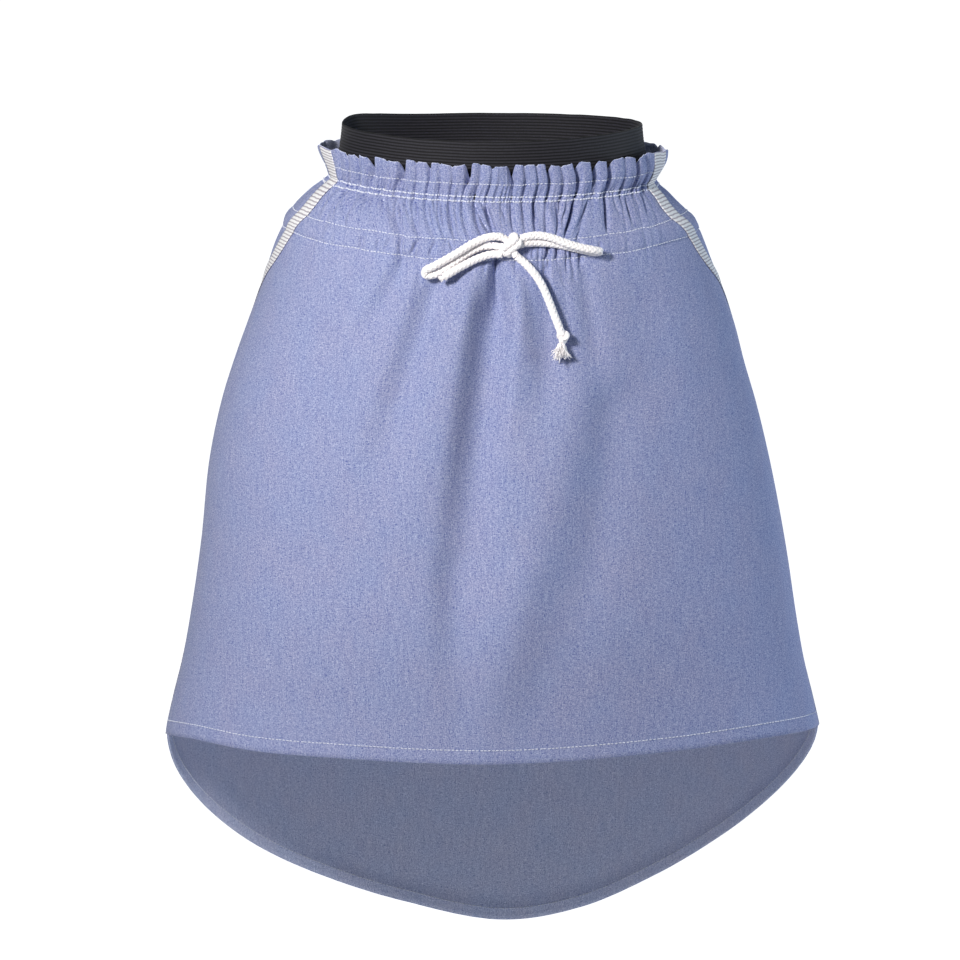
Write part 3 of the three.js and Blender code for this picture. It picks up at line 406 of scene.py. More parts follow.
def gather_relief(panel, u, below):
    k, n, f, wide = gaps(panel, u)
    depths = gather_depths(panel, below)
    left, right = depths[k, n], depths[k + 1, n]

    def notch(t):
        return np.where(t >= CREST_NEAR, 0, 1 - ease(t / CREST_NEAR))

    swell = CREST_SWELL * ease(-below.ravel() / FRILL_HIGH) * np.sin(math.pi * f)
    relief = swell - left * notch(f) - right * notch(1 - f)
    # each valley is creased sharply along its middle
    wide = wide * PANEL_WIDE
    relief -= SLIT * (left * bell(f * wide, SLIT_WIDE) + right * bell((1 - f) * wide, SLIT_WIDE))
    return relief.reshape(u.shape)


def line_of(row, below):
    """How far down a fold or crease each height is, as a share, and where its line is there."""
    t = (below - row["top"]) / (row["bottom"] - row["top"])
    return t, row["x_top"] + (row["x_bottom"] - row["x_top"]) * t


def fold_relief(panel, angle, below):
    half, depth = half_at(below), read(SECTIONS, "below", below, panel["depth"])
    lean = lean_at(below)
    rise = np.zeros_like(angle)
    for row in each(panel["folds"]):
        t, line = line_of(row, below)
        x = line + row["bend"] * np.sin(math.pi * np.clip(t, 0, 1)) - lean
        middle = np.arcsin(np.clip(x / half, -1, 1))
        stretch = np.hypot(half * np.cos(middle), depth * np.sin(middle))
        off = np.abs(angle - middle) * stretch
        wide = row["wide_top"] + (row["wide_bottom"] - row["wide_top"]) * np.clip(t, 0, 1)
        shape = np.cos(np.clip(off / wide, 0, 2) * math.pi / 4) ** 2
        rise += row["rise"] * ease(t * 7) * ease((1 - t) * 1.6) * shape
    turned = ease((below - HEM_TURN_FROM) / (HEM_TURN_TO - HEM_TURN_FROM))
    return rise - panel["turn"] * turned * np.cos(angle) ** 2


def crease_relief(panel, angle, below):
    """Sharp short creases, which taper out at both ends. The back has them the other way round."""
    x = (lean_at(below) + half_at(below) * np.sin(angle)) * panel["flip"]
    rise = np.zeros_like(angle)
    for i, row in enumerate(each(CREASES)):
        t, line = line_of(row, below)
        line = line + 0.9 * noise(panel["seed"] + 60 + i, 9, below)
        taper = ease(t * 4) * ease((1 - t) * 2.5)
        rise += row["rise"] * taper * bell(x - line, row["wide"])
    return CREASE_RISE * rise


def fine_relief(panel, u, angle, below):
    """Small pleats under the stitching, puckers along the seams and the cloth's soft unevenness."""
    def soft(number, pitch, at):
        return noise(panel["seed"] + number, pitch, at)

    s = u * PANEL_WIDE
    x = s - PANEL_WIDE / 2
    from_edge = np.minimum(u, 1 - u) * PANEL_WIDE
    inside = ease((from_edge - 9) / 8)
    # tiny pleats on the gather seam, each running its own way up and down, deeper to the left
    more = (1 + 0.9 * ease((-x * panel["flip"] - 55) / 50)) * inside
    reach = 10 + 7 * soft(1, 4.1, s)
    tiny = soft(2, 1.75, s + 0.05 * below)
    rise = crease_relief(panel, angle, below)
    rise += 1.5 * tiny * np.exp(-np.abs(below - 2) / np.maximum(reach, 3)) * more
    reach = 26 + 20 * soft(3, 9, s)
    middle = soft(4, 4.4, s + 0.10 * below * soft(5, 40, s))
    down = np.where(below > 0, np.exp(-below / np.maximum(reach, 6)), np.exp(below / 16))
    rise += 1.5 * middle * down * more * (0.65 + 0.35 * bell(x, 105))
    # soft slanting swells across the yoke, stronger in places
    tilt = s + 0.5 * (below - 18) * soft(21, 34, s)
    swell = soft(22, 7.5, tilt) * (0.6 + 0.4 * soft(23, 30, s))
    rise += 1.1 * swell * ease((below - 2) / 6) * (1 - ease((below - 26) / 14)) * more
    # the seam itself draws the cloth in
    rise -= 0.45 * (bell(below - 0.2, 1.1) + bell(below - 4.2, 1.1)) * inside
    # the little pleats that the two rows of gathering hold between them
    rise += 0.5 * soft(25, 1.25, s) * bell(below - 2.2, 2.2) * inside
    # frill: its topstitching and small ripples
    rise -= 0.35 * bell(below + FRILL_STITCH, 1.2) * inside
    rise += 0.7 * soft(6, 6.5, s + 0.2 * below) * bell(below + FRILL_STITCH, 9) * inside
    rise += 1.2 * soft(24, 13, s) * ease(-below / FRILL_HIGH) * inside
    # casing: stitched edges, puckers, and creases crowding towards the knot
    crowd = 0.35 + 0.65 * bell(x - 10, 80)
    below = below + casing_lift(angle) * ease((below - 8) / 12)
    for line in (CASING_TOP, CASING_END):
        rise -= 0.5 * bell(below - line, 1.3)
        rise += 0.42 * crowd * soft(7 + line, 3.6, s) * bell(below - line, 5) * inside
    band = ease((below - CASING_TOP) / 5) * (1 - ease((below - CASING_END + 3) / 5))
    slanted = s + 0.35 * (below - 50) * soft(8, 25, s)
    rise += 1.0 * crowd * soft(9, 4.6, slanted) * band * inside
    # short creases hanging from the casing
    reach = 26 + 18 * soft(10, 12, s)
    hang = np.where(below > CASING_END, np.exp(-(below - CASING_END) / np.maximum(reach, 8)), 0)
    rise += 1.15 * crowd * soft(11, 7.0, s - 0.04 * below) * hang * inside
    # broad unevenness of the hanging cloth
    long_way = ease((below - 70) / 80)
    rise += 1.1 * long_way * soft(12, 62, angle * HIP_ROUND) * soft(13, 210, below)
    slanted = angle * HIP_ROUND + 0.12 * below
    rise += 0.5 * long_way * soft(14, 31, slanted) * soft(15, 150, below)
    # hem
    up = hem_length(panel, angle) + casing_lift(angle) - below
    rise -= 0.4 * bell(up - HEM_STITCH, 1.4)
    rise += 0.35 * soft(16, 8.5, angle * HEM_ROUND) * bell(up - 8, 9)
    return rise


def wing_relief(panel, angle, below):
    t = np.clip((below + casing_lift(angle) - CASING_TOP) / (CASING_END - CASING_TOP), 0, 1)
    puff = CASING_PUFF * np.sin(math.pi * t) ** 0.7
    from_front = np.abs(angle) if panel["side"] < 0 else math.pi - np.abs(angle)
    wing = ease(-below / FRILL_HIGH) * bell(from_front / DEG - 83, 8)
    return puff + FRILL_WING * wing


def place(panel, angle, below, rise, sink=0.0):
    """Points at an angle and a height, so far off the plain form and sunk by so much."""
    half, depth = half_at(below), read(SECTIONS, "below", below, panel["depth"])
    sin, cos = np.sin(angle), np.cos(angle)
    nx, ny = sin / half, panel["side"] * cos / depth
    size = np.hypot(nx, ny)
    x = lean_at(below) + half * sin + rise * nx / size
    y = panel["side"] * depth * cos + rise * ny / size
    z = seam_height(panel, angle) - below - sink
    return np.stack((x, y, z), -1)


def top_sink(panel, angle, below, gathers):
    wave = 1.1 * np.sin(angle * 19 + 0.6) + 0.7 * np.sin(angle * 31 + 2.1)
    wave += 1.1 * noise(panel["seed"] + 20, 9, angle * FRILL_ROUND)
    return (np.maximum(0, -gathers) * 1.6 + wave * 0.8) * ease((-below - 8) / (FRILL_HIGH - 8))


def skin(panel, u, below):
    """Points on the outside of the cloth, for column u from 0 to 1 and a height."""
    u, below = np.broadcast_arrays(np.asarray(u, float), np.asarray(below, float))
    angle = angle_of(panel, u, below)
    gathers = gather_relief(panel, u, below)
    rise = gathers + fold_relief(panel, angle, below) + wing_relief(panel, angle, below)
    rise = rise + fine_relief(panel, u, angle, below)
    return place(panel, angle, below, rise, top_sink(panel, angle, below, gathers))


def outward(panel, angle, below):
    """The cloth's outward direction with its gathers and folds left out."""
    across = place(panel, angle + 0.01, below, 0.0) - place(panel, angle - 0.01, below, 0.0)
    down = place(panel, angle, below + 1.0, 0.0) - place(panel, angle, below - 1.0, 0.0)
    return unit(np.cross(down, across) * panel["flip"])


# Materials


def linear(r, g, b):
    def one(v):
        v /= 255
        return v / 12.92 if v <= 0.04045 else ((v + 0.055) / 1.055) ** 2.4
    return (one(r), one(g), one(b), 1.0)


class Nodes:
    """Short hand for one material's node tree."""

    def __init__(self, name):
        self.material = bpy.data.materials.new(name)
        self.material.use_nodes = True
        self.tree = self.material.node_tree
        self.shader = self.tree.nodes["Principled BSDF"]
        self.coords = self.tree.nodes.new("ShaderNodeTexCoord")
        self.uv = self.coords.outputs["UV"]

    def put(self, socket, value):
        if isinstance(value, bpy.types.NodeSocket):
            self.tree.links.new(value, socket)
        elif value is not None:
            socket.default_value = value

    def node(self, kind, output=0, inputs=None, **settings):
        node = self.tree.nodes.new(kind)
        for name, value in settings.items():
            setattr(node, name, value)
        for name, value in (inputs or {}).items():
            self.put(node.inputs[name], value)
        return node.outputs[output]

    def math(self, operation, a, b=0.0, c=0.0):
        return self.node("ShaderNodeMath", 0, {0: a, 1: b, 2: c}, operation=operation)

    def ribs(self):
        """A wave from 0 to 1 with one crest for each rib down the cloth."""
        down = self.node("ShaderNodeSeparateXYZ", 1, {0: self.uv})
        turn = self.math("MULTIPLY", down, 1000 / RIB_PITCH * TURN)
        return self.math("MULTIPLY_ADD", self.math("COSINE", turn), 0.5, 0.5)

    def yarns(self, across, down, detail=2.0, rough=0.5):
        """Noise with so many waves to a metre across and down the cloth."""
        at = self.node("ShaderNodeMapping", 0, {"Vector": self.uv, "Scale": (across, down, 1)})
        return self.node(
            "ShaderNodeTexNoise", 0,
            {"Vector": at, "Scale": 1.0, "Detail": detail, "Roughness": rough},
        )

    def added(self, *terms):
        """The sum of outputs, each times its own factor."""
        parts = [self.math("MULTIPLY", output, factor) for output, factor in terms]
        total = parts[0]
        for part in parts[1:]:
            total = self.math("ADD", total, part)
        return total

    def ramp(self, factor, *stops):
        node = self.tree.nodes.new("ShaderNodeValToRGB")
        self.put(node.inputs[0], factor)
        while len(node.color_ramp.elements) < len(stops):
            node.color_ramp.elements.new(0.5)
        for element, (at, value) in zip(node.color_ramp.elements, stops):
            element.position = at
            element.color = (value, value, value, 1) if isinstance(value, float) else value
        return node.outputs[0]

    def mix(self, factor, a, b, blend="MIX"):
        node = self.tree.nodes.new("ShaderNodeMix")
        node.data_type = "RGBA"
        node.blend_type = blend
        self.put(node.inputs[0], factor)
        self.put(node.inputs[6], a)
        self.put(node.inputs[7], b)
        return node.outputs[2]

    def bump(self, height, distance, strength):
        return self.node(
            "ShaderNodeBump", 0, {"Height": height, "Distance": distance, "Strength": strength}
        )

    def finish(self, colour, rough, bump, sheen, specular):
        self.put(self.shader.inputs["Base Color"], colour)
        self.put(self.shader.inputs["Roughness"], rough)
        self.put(self.shader.inputs["Normal"], bump)
        self.shader.inputs["Sheen Weight"].default_value = sheen
        self.shader.inputs["Sheen Roughness"].default_value = 0.45
        self.shader.inputs["Specular IOR Level"].default_value = specular
        return self.material


def denim(name, pale, deep, sheen):
    """Chambray: a white weft crosses a blue warp, with uneven yarns each way. UVs are metres."""
    n = Nodes(name)
    warp, weft = n.yarns(1150, 300, 2.0, 0.6), n.yarns(260, 1150, 2.0, 0.6)
    grain, slub = n.yarns(980, 860, 1.0, 0.7), n.yarns(520, 40, 1.0)
    blotch = n.yarns(26, 20, 3.0, 0.6)
    tone = n.added((warp, 0.27), (weft, 0.20), (grain, 0.43), (slub, 0.10))
    tone = n.ramp(tone, (0.36, 0.0), (0.64, 1.0))
    tint = n.ramp(blotch, (0.35, (0.965, 0.99, 1.01, 1)), (0.65, (1.035, 1.005, 0.995, 1)))
    colour = n.mix(1.0, n.mix(tone, deep, pale), tint, "MULTIPLY")
    bump = n.bump(n.added((warp, 0.5), (weft, 0.5), (grain, 0.6)), 0.0003, 0.6)
    rough = n.ramp(tone, (0.0, 0.86), (1.0, 0.78))
    return n.finish(colour, rough, bump, sheen, 0.22)


def elastic_material():
    """Black knitted elastic, with painted shade darkening the gaps between its ribs."""
    n = Nodes("elastic")
    knit, broad = n.yarns(900, 260, 2.0, 0.6), n.yarns(30, 60)
    rib = n.ramp(n.ribs(), (0.25, 1.0), (0.9, 0.0))
    colour = n.mix(knit, linear(22, 21, 27), linear(56, 55, 64))
    colour = n.mix(n.math("MULTIPLY", broad, 0.35), colour, linear(34, 33, 40))
    # painted shade: the colour goes near black in the gaps between the ribs, where the rib mask is
    # high
    colour = n.mix(rib, linear(11, 11, 15), colour)
    return n.finish(colour, 0.74, n.bump(knit, 0.0002, 0.6), 0.1, 0.25)


def tape_material():
    """Cream ribs lie across the tape, with painted shade greying the gaps between them."""
    n = Nodes("tape")
    yarn = n.yarns(1500, 300, 2.0, 0.6)
    # painted shade: this mask is low in the gaps between the ribs, where the colour turns grey
    edge = n.ramp(n.ribs(), (0.05, 0.0), (0.5, 1.0))
    cream = n.mix(yarn, linear(211, 210, 213), linear(236, 236, 239))
    colour = n.mix(edge, linear(160, 154, 164), cream)
    return n.finish(colour, 0.8, n.bump(yarn, 0.0002, 0.5), 0.1, 0.25)


def cotton(name, pale, deep):
    """Soft twisted cotton, for the cord and the thread."""
    n = Nodes(name)
    fibre, soft = n.yarns(1600, 500, 3.0, 0.65), n.yarns(160, 160)
    colour = n.mix(fibre, deep, pale)
    colour = n.mix(n.math("MULTIPLY", soft, 0.3), colour, pale)
    return n.finish(colour, 0.85, n.bump(fibre, 0.0003, 0.6), 0.25, 0.2)


DENIM_OUT = denim("denim_outside", linear(178, 183, 210), linear(66, 82, 147), 0.1)
# the inside: the cloth's paler reverse side, made paler still as painted light to brighten the
# shaded inside of the skirt
DENIM_REVERSE_AND_PAINTED_LIGHT = denim("denim_reverse_and_painted_light", linear(226, 229, 248), linear(114, 128, 180), 0.05)
ELASTIC = elastic_material()
TAPE = tape_material()
COTTON = cotton("cord_cotton", linear(255, 252, 253), linear(236, 229, 232))
THREAD = cotton("thread", linear(236, 238, 246), linear(196, 202, 222))


# Meshes


def piece(name, points, faces, uv, materials, nodes=(), kinds=None):
    """A mesh in metres from points in millimetres, riding on the body."""
    mesh = bpy.data.meshes.new(name)
    mesh.from_pydata((np.asarray(points) * MM).tolist(), [], faces)
    loops = np.empty(len(mesh.loops), np.int32)
    mesh.loops.foreach_get("vertex_index", loops)
    layer = mesh.uv_layers.new(name="cloth")
    layer.data.foreach_set("uv", (np.asarray(uv)[loops] * MM).astype(np.float32).ravel())
    mesh.polygons.foreach_set("use_smooth", np.ones(len(mesh.polygons), bool))
    for material in materials:
        mesh.materials.append(material)
    if kinds is not None:
        mesh.polygons.foreach_set("material_index", np.asarray(kinds, np.int32))
    mesh.update()
    obj = add_object(name, mesh)
    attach(obj, "root")
    if nodes:
        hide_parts(*nodes)
    return obj


def strip(upper, lower):
    """Faces between two rows of point numbers; the lower row may have half as many steps."""
    if len(upper) == len(lower):
        return list(zip(upper, lower, lower[1:], upper[1:]))
    faces = []
    for i, (near, far) in enumerate(zip(lower, lower[1:])):
        a, b, c = upper[2 * i:2 * i + 3]
        faces += [(a, near, b), (b, near, far), (b, far, c)]
    return faces


def zip_rows(first, first_at, second, second_at):
    """Triangles between two lines of point numbers with different steps, each with its heights."""
    i = j = 0
    faces = []
    while i < len(first) - 1 or j < len(second) - 1:
        step_first = j == len(second) - 1 or (
            i < len(first) - 1 and first_at[i + 1] <= second_at[j + 1]
        )
        if step_first:
            faces.append((first[i], first[i + 1], second[j]))
            i += 1
        else:
            faces.append((first[i], second[j + 1], second[j]))
            j += 1
    return faces


def grid_strips(grid, turned=False):
    """Faces between the rows of a grid of point numbers, from the last row up when turned."""
    if turned:
        grid = grid[::-1]
    return [face for a, b in zip(grid, grid[1:]) for face in strip(a, b)]


def ring_faces(count, around, closed=False, base=0):
    """Faces round a tube of so many rings."""
    faces = []
    for r in range(count if closed else count - 1):
        p, q = base + r * around, base + (r + 1) % count * around
        for i in range(around):
            j = (i + 1) % around
            faces.append((p + i, p + j, q + j, q + i))
    return faces


def grid_normals(grid):
    """Normals at the points of a grid of rows, each from its neighbours."""
    normal = np.cross(np.gradient(grid, axis=0), np.gradient(grid, axis=1))
    return normal / np.maximum(np.linalg.norm(normal, axis=-1, keepdims=True), 1e-9)


def lower_heights(panel, u, shares, rise=0.0):
    """Heights of rows that end on the hem, at shares of the way down from the gathers' end."""
    shares = shares[:, None]
    below = GATHERS_END + (HEM_NEAR - GATHERS_END) * shares + 0 * u[None, :]
    for _ in range(4):
        angle = angle_of(panel, np.broadcast_to(u, below.shape), below)
        below = GATHERS_END + (hem_length(panel, angle) - rise - GATHERS_END) * shares
    return below


def build_panel(name, panel, node, across):
    """A panel's cloth: a closed wall with so many columns on the outside of its gathers."""
    # outside: fine above the gathers' end, half as many columns below it
    u = np.linspace(EDGE_TRIM, 1 - EDGE_TRIM, across + 1)
    half_u = u[::2]
    top = np.linspace(-FRILL_HIGH, GATHERS_END, OUTER_ROWS[0])[:, None] + 0 * u[None, :]
    longer = 1.0 if panel["side"] < 0 else BACK_ROWS
    shares = np.linspace(0, 1, int(OUTER_ROWS[1] * longer))[1:]
    low = lower_heights(panel, half_u, shares)
    top_u, low_u = np.broadcast_to(u, top.shape), np.broadcast_to(half_u, low.shape)
    points_top, points_low = skin(panel, top_u, top), skin(panel, low_u, low)
    # inside: coarser rows, moved in by the cloth's thickness, thicker in the turned-up hem
    in_top = np.linspace(-FRILL_HIGH, GATHERS_END, INNER_ROWS[0])[:, None] + 0 * half_u[None, :]
    in_shares = np.linspace(0, 1, int(INNER_ROWS[1] * longer))[1:]
    in_low = lower_heights(panel, half_u, in_shares, HEM_HIGH)
    hems = [lower_heights(panel, half_u, np.ones(1), up) for up in (HEM_HIGH - 0.5, 9, 4.5, 0.0)]
    in_below = np.concatenate([in_top, in_low] + hems)
    in_u = np.broadcast_to(half_u, in_below.shape)
    outside = skin(panel, in_u, in_below)
    normal = grid_normals(outside) * panel["flip"]
    wall = CLOTH + LINING * ease((in_below - GATHERS_END + 16) / 16)
    wall[-4:] = HEM_CLOTH
    inside = outside - normal * wall[..., None]
    # the folded edges between the two sides
    lip_top = (points_top[0, ::2] + inside[0]) / 2 + np.array((0, 0, 0.4))
    lip_low = (points_low[-1] + inside[-1]) / 2 - np.array((0, 0, 0.7))

    points, uvs = [], []

    def lay(grid, us, heights):
        """Adds rows of points. Their UVs are millimetres across and down the hanging cloth."""
        base = sum(len(p) for p in points)
        points.append(grid.reshape(-1, 3))
        us, heights = np.broadcast_to(us, grid.shape[:2]), np.broadcast_to(heights, grid.shape[:2])
        plain = place(panel, angle_of(panel, us, heights), heights, 0.0)
        step = np.linalg.norm(np.diff(plain, axis=1), axis=-1)
        across = np.concatenate((np.zeros((len(step), 1)), np.cumsum(step, 1)), 1)
        across -= across[:, across.shape[1] // 2][:, None]
        uvs.append(np.stack((across, -heights), -1).reshape(-1, 2))
        return np.arange(base, base + grid[..., 0].size).reshape(grid.shape[:2])

    a = lay(points_top, u, top)
    b = lay(points_low, half_u, low)
    c = lay(inside, half_u, in_below)
    d = lay(lip_top[None], half_u, -FRILL_HIGH - 0.5)
    e = lay(lip_low[None], half_u, low[-1:] + 1)
    faces = grid_strips(a) + strip(a[-1], b[0]) + grid_strips(b) + strip(b[-1], e[0])
    outer = len(faces)
    faces += strip(e[0], c[-1]) + grid_strips(c, turned=True) + strip(c[0], d[0])
    for i, (near, far) in enumerate(zip(d[0], d[0][1:])):
        left, mid, right = a[0][2 * i:2 * i + 3]
        faces += [(near, left, mid), (near, mid, far), (far, mid, right)]
    kinds = [0] * outer + [1] * (len(faces) - outer)
    # the panel's two side edges
    for column in (0, -1):
        face = [r[column] for r in (*a, *b, *e)]
        lining = [r[column] for r in (*d, *c)]
        heights = np.concatenate((top[:, column], low[:, column], low[-1:, column] + 1))
        in_heights = np.concatenate(([-FRILL_HIGH - 0.5], in_below[:, column]))
        edge = zip_rows(face, heights, lining, in_heights)
        if column == 0:
            edge = [tuple(reversed(f)) for f in edge]
        faces += edge
        kinds += [0] * len(edge)
    if panel["side"] > 0:
        faces = [tuple(reversed(f)) for f in faces]
    return piece(name, np.concatenate(points), faces, np.concatenate(uvs), [DENIM_OUT, DENIM_REVERSE_AND_PAINTED_LIGHT],
                 [node], kinds)


front_cloth = build_panel("front_cloth", FRONT, "front_panel", 560)
back_cloth = build_panel("back_cloth", BACK, "back_panel", 480)


# Stitching


def stitches(name, sewn):
    """Spindles of thread. Each row has its stitches' starts, ends and normals, and a thickness."""
    ring = 5
    # along a stitch: how far, how thick and how high it is
    shape = (
        (0.0, 0.35, -0.5), (0.2, 0.95, 0.1), (0.5, 1.0, 0.35), (0.8, 0.95, 0.1), (1.0, 0.35, -0.5)
    )
    points, faces, uvs = [], [], []
    turns = np.arange(ring) / ring * TURN
    for start, end, normal, thick in sewn:
        size = np.linalg.norm(end - start, axis=-1)
        along = unit(end - start)
        side = unit(np.cross(along, normal))
        up = np.cross(side, along)
        for i in range(len(start)):
            base = len(points)
            for share, wide, lift in shape:
                centre = start[i] + (end[i] - start[i]) * share + up[i] * lift * thick
                for t in turns:
                    out = side[i] * math.cos(t) + up[i] * math.sin(t)
                    points.append(centre + out * thick * wide)
                    uvs.append((size[i] * share + i * 7.3, t))
            faces += ring_faces(len(shape), ring, base=base)
            faces.append(tuple(range(base + ring - 1, base - 1, -1)))
            faces.append(tuple(range(len(points) - ring, len(points))))
    piece(name, np.array(points), faces, np.array(uvs), [THREAD])


def stitch_row(panel, heights_at, pitch, share=0.72, thick=0.42, lift=0.3, inside=0.0, seed=0):
    """Stitches of even pitch along a line on a panel. heights_at gives its height for columns u."""
    margin = 4
    u = np.linspace(0, 1, 4001)
    line = skin(panel, u, heights_at(u))
    way = distances(line)
    rng = np.random.default_rng(seed + panel["seed"])
    begins = np.arange(margin, way[-1] - margin, pitch)
    begins = begins + rng.uniform(-0.12, 0.12, len(begins)) * pitch
    ends = begins + pitch * (share + rng.uniform(-0.06, 0.06, len(begins)))
    found = []
    for at in (begins, ends):
        us = np.interp(at, way, u)
        below = heights_at(us)
        angle = angle_of(panel, us, below)
        normal = outward(panel, angle, below)
        found.append((skin(panel, us, below) + normal * (lift - inside), normal))
    return found[0][0], found[1][0], found[0][1] * (-1 if inside else 1), thick


def level(height):
    """A line at one height below the gather seam."""
    return lambda u: np.full(np.shape(u), float(height))


def along_hem(panel, up):
    """A line so far above the hem."""
    def heights(u):
        u = np.atleast_1d(np.asarray(u, float))
        return lower_heights(panel, u, np.ones(1), up)[0]
    return heights


def wavy(height, seed):
    """A line that wavers a little."""
    return lambda u: height + LINE_WAVER * noise(seed, 0.035, np.asarray(u, float))


def on_casing(panel, height, seed):
    """A line along the casing, which runs higher at the sides."""
    def heights(u):
        u = np.atleast_1d(np.asarray(u, float))
        below = np.full(u.shape, float(height))
        for _ in range(3):
            below = height - casing_lift(angle_of(panel, u, below))
        return below + LINE_WAVER * noise(seed, 0.04, u)
    return heights


for panel, label in ((FRONT, "front"), (BACK, "back")):
    sewn = [
        stitch_row(panel, wavy(-FRILL_STITCH, 31), 3.4),
        stitch_row(panel, level(0.2), 3.3, 0.8, 0.72, 0.5),
        stitch_row(panel, level(4.4), 3.3, 0.8, 0.72, 0.5, seed=1),
        stitch_row(panel, on_casing(panel, CASING_TOP, 32), 3.4, seed=2),
        stitch_row(panel, on_casing(panel, CASING_END, 33), 3.4, seed=3),
        stitch_row(panel, along_hem(panel, HEM_STITCH), 3.5, seed=4),
        stitch_row(
            panel, along_hem(panel, HEM_STITCH - 1), 3.5, lift=0.0, inside=HEM_CLOTH + 0.25, seed=5
        ),
    ]
    stitches(f"{label}_stitching", sewn)


# Elastic


def elastic_ring():
    """A ribbed ring of two walls and a lip. Its top dips in front and rises at the back left."""
    across, per_rib = 220, 5
    high = ELASTIC_TOP - SEAM_Z + ELASTIC_UNDER
    steps = int(high / RIB_PITCH) * per_rib
    shares = np.arange(steps + 1) / steps
    angle = np.linspace(0, TURN, across, endpoint=False)
    cos, sin = np.cos(angle), np.sin(angle)
    dips = np.where(cos > 0, 6, 1) * cos**2
    foot = SEAM_Z - np.where(cos > 0, 5, 1) * cos**2 - SEAM_TILT * sin - ELASTIC_UNDER
    shoulder = SHOULDER * bell(angle / DEG - 246, 22)
    top = ELASTIC_TOP - dips + shoulder + 0.2 * noise(5, 14, angle * WAIST_ROUND)
    rib = np.abs(np.sin(np.arange(len(shares)) / per_rib * math.pi)) ** 0.6
    t = np.clip(shares / (1 - ELASTIC_UNDER / high), 0, 1)
    grids = []
    for inward in (0.0, 1.45):
        half = ELASTIC_HALF[0] + (ELASTIC_HALF[1] - ELASTIC_HALF[0]) * t**1.4
        depth = ELASTIC_DEPTH[0] + (ELASTIC_DEPTH[1] - ELASTIC_DEPTH[0]) * t
        rise = (rib - 1) * 0.42 if inward == 0 else -inward - (rib - 1) * 0.3
        nx, ny = sin[None] / half[:, None], -cos[None] / depth[:, None]
        size = np.hypot(nx, ny)
        x = half[:, None] * sin[None] + rise[:, None] * nx / size
        y = -depth[:, None] * cos[None] + rise[:, None] * ny / size
        z = top[None] + (foot - top)[None] * shares[:, None]
        grids.append(np.stack((x, y, z), -1))
    outer, inner = grids
    inner = inner[::-1]
    lip = (outer[:1] + inner[-1:]) / 2 + np.array((0, 0, 0.45))
    stack = np.concatenate((outer, inner, lip))
    n_rows = len(stack)
    faces = []
    for r in range(n_rows):
        a, b = r * across, ((r + 1) % n_rows) * across
        for i in range(across):
            j = (i + 1) % across
            faces.append((a + i, b + i, b + j, a + j))
    us = np.broadcast_to(angle * ELASTIC_ROUND, (n_rows, across))
    vs = np.concatenate((shares, shares[::-1], [0]))[:, None] * high + 0 * us
    uv = np.stack((us, vs), -1).reshape(-1, 2)
    return piece(
        "elastic_band", stack.reshape(-1, 3), faces, uv, [ELASTIC], ["waist_elastic"]
    )


elastic_band = elastic_ring()


# Side tapes


def side_tape(name, hand, node):
    """A ribbed strip over a side seam, half on the front and half on the back."""
    per_rib, lanes = 6, 11
    end = float(hem_length(FRONT, hand * edge_angle(FRONT, HEM_NEAR)))
    ribs = int((end + FRILL_HIGH) / RIB_PITCH)
    below = np.linspace(-FRILL_HIGH, end - 0.4, ribs * per_rib + 1)
    parts = np.linspace(-1, 1, lanes)
    seam = edge_angle(FRONT, below)
    reach = TAPE_WIDE / 2 / read(SECTIONS, "below", below, "front")
    rib = np.abs(np.sin(np.arange(len(below)) / per_rib * math.pi)) ** 0.7
    out, back = [], []
    wobble = 0.35 * noise(40 + hand, 18, below)
    for part in parts:
        from_front = seam + reach * part + wobble / WAIST_ROUND
        panel = FRONT if part < 0 else BACK
        angle = hand * (from_front if part < 0 else math.pi - from_front)
        rise = wing_relief(panel, angle, below)
        sink = top_sink(panel, angle, below, np.zeros_like(below))
        at = place(panel, angle, below, rise, sink)
        normal = outward(panel, angle, below)
        # a row of tiny loops stands along each selvedge
        selvedge = 0.2 * (abs(part) > 0.85)
        lift = 1.2 - 0.75 * ease((below - 70) / 60)
        out.append(at + normal * (lift + 0.16 * (rib - 1) + selvedge)[:, None])
        back.append(at + normal * (lift * 0.4)[:, None])
    out = np.stack(out, 1)
    back = np.stack(back, 1)[::per_rib]
    if hand < 0:
        out, back = out[:, ::-1], back[:, ::-1]
    points = np.concatenate((out.reshape(-1, 3), back.reshape(-1, 3)))
    a = np.arange(len(out) * lanes).reshape(-1, lanes)
    b = a.size + np.arange(len(back) * lanes).reshape(-1, lanes)
    faces = grid_strips(a) + grid_strips(b, turned=True)
    for i in range(lanes - 1):
        faces.append((b[0, i], a[0, i], a[0, i + 1], b[0, i + 1]))
        faces.append((a[-1, i], b[-1, i], b[-1, i + 1], a[-1, i + 1]))
    for r in range(len(b) - 1):
        for k in range(per_rib):
            q = r * per_rib + k
            faces.append((a[q, 0], b[r, 0], a[q + 1, 0]))
            faces.append((a[q, -1], a[q + 1, -1], b[r, -1]))
        q = (r + 1) * per_rib
        faces.append((a[q, 0], b[r, 0], b[r + 1, 0]))
        faces.append((a[q, -1], b[r + 1, -1], b[r, -1]))
    us = np.tile(parts * TAPE_WIDE / 2, len(a) + len(b))
    ribs_down = np.concatenate((np.arange(len(a)) / per_rib, np.arange(len(b))))
    vs = np.repeat(ribs_down * RIB_PITCH + RIB_PITCH / 2, lanes)
    return piece(name, points, faces, np.stack((us, vs), -1), [TAPE], [node])


tape_left = side_tape("tape_left", -1, "side_tape_left")
tape_right = side_tape("tape_right", 1, "side_tape_right")


# Drawstring


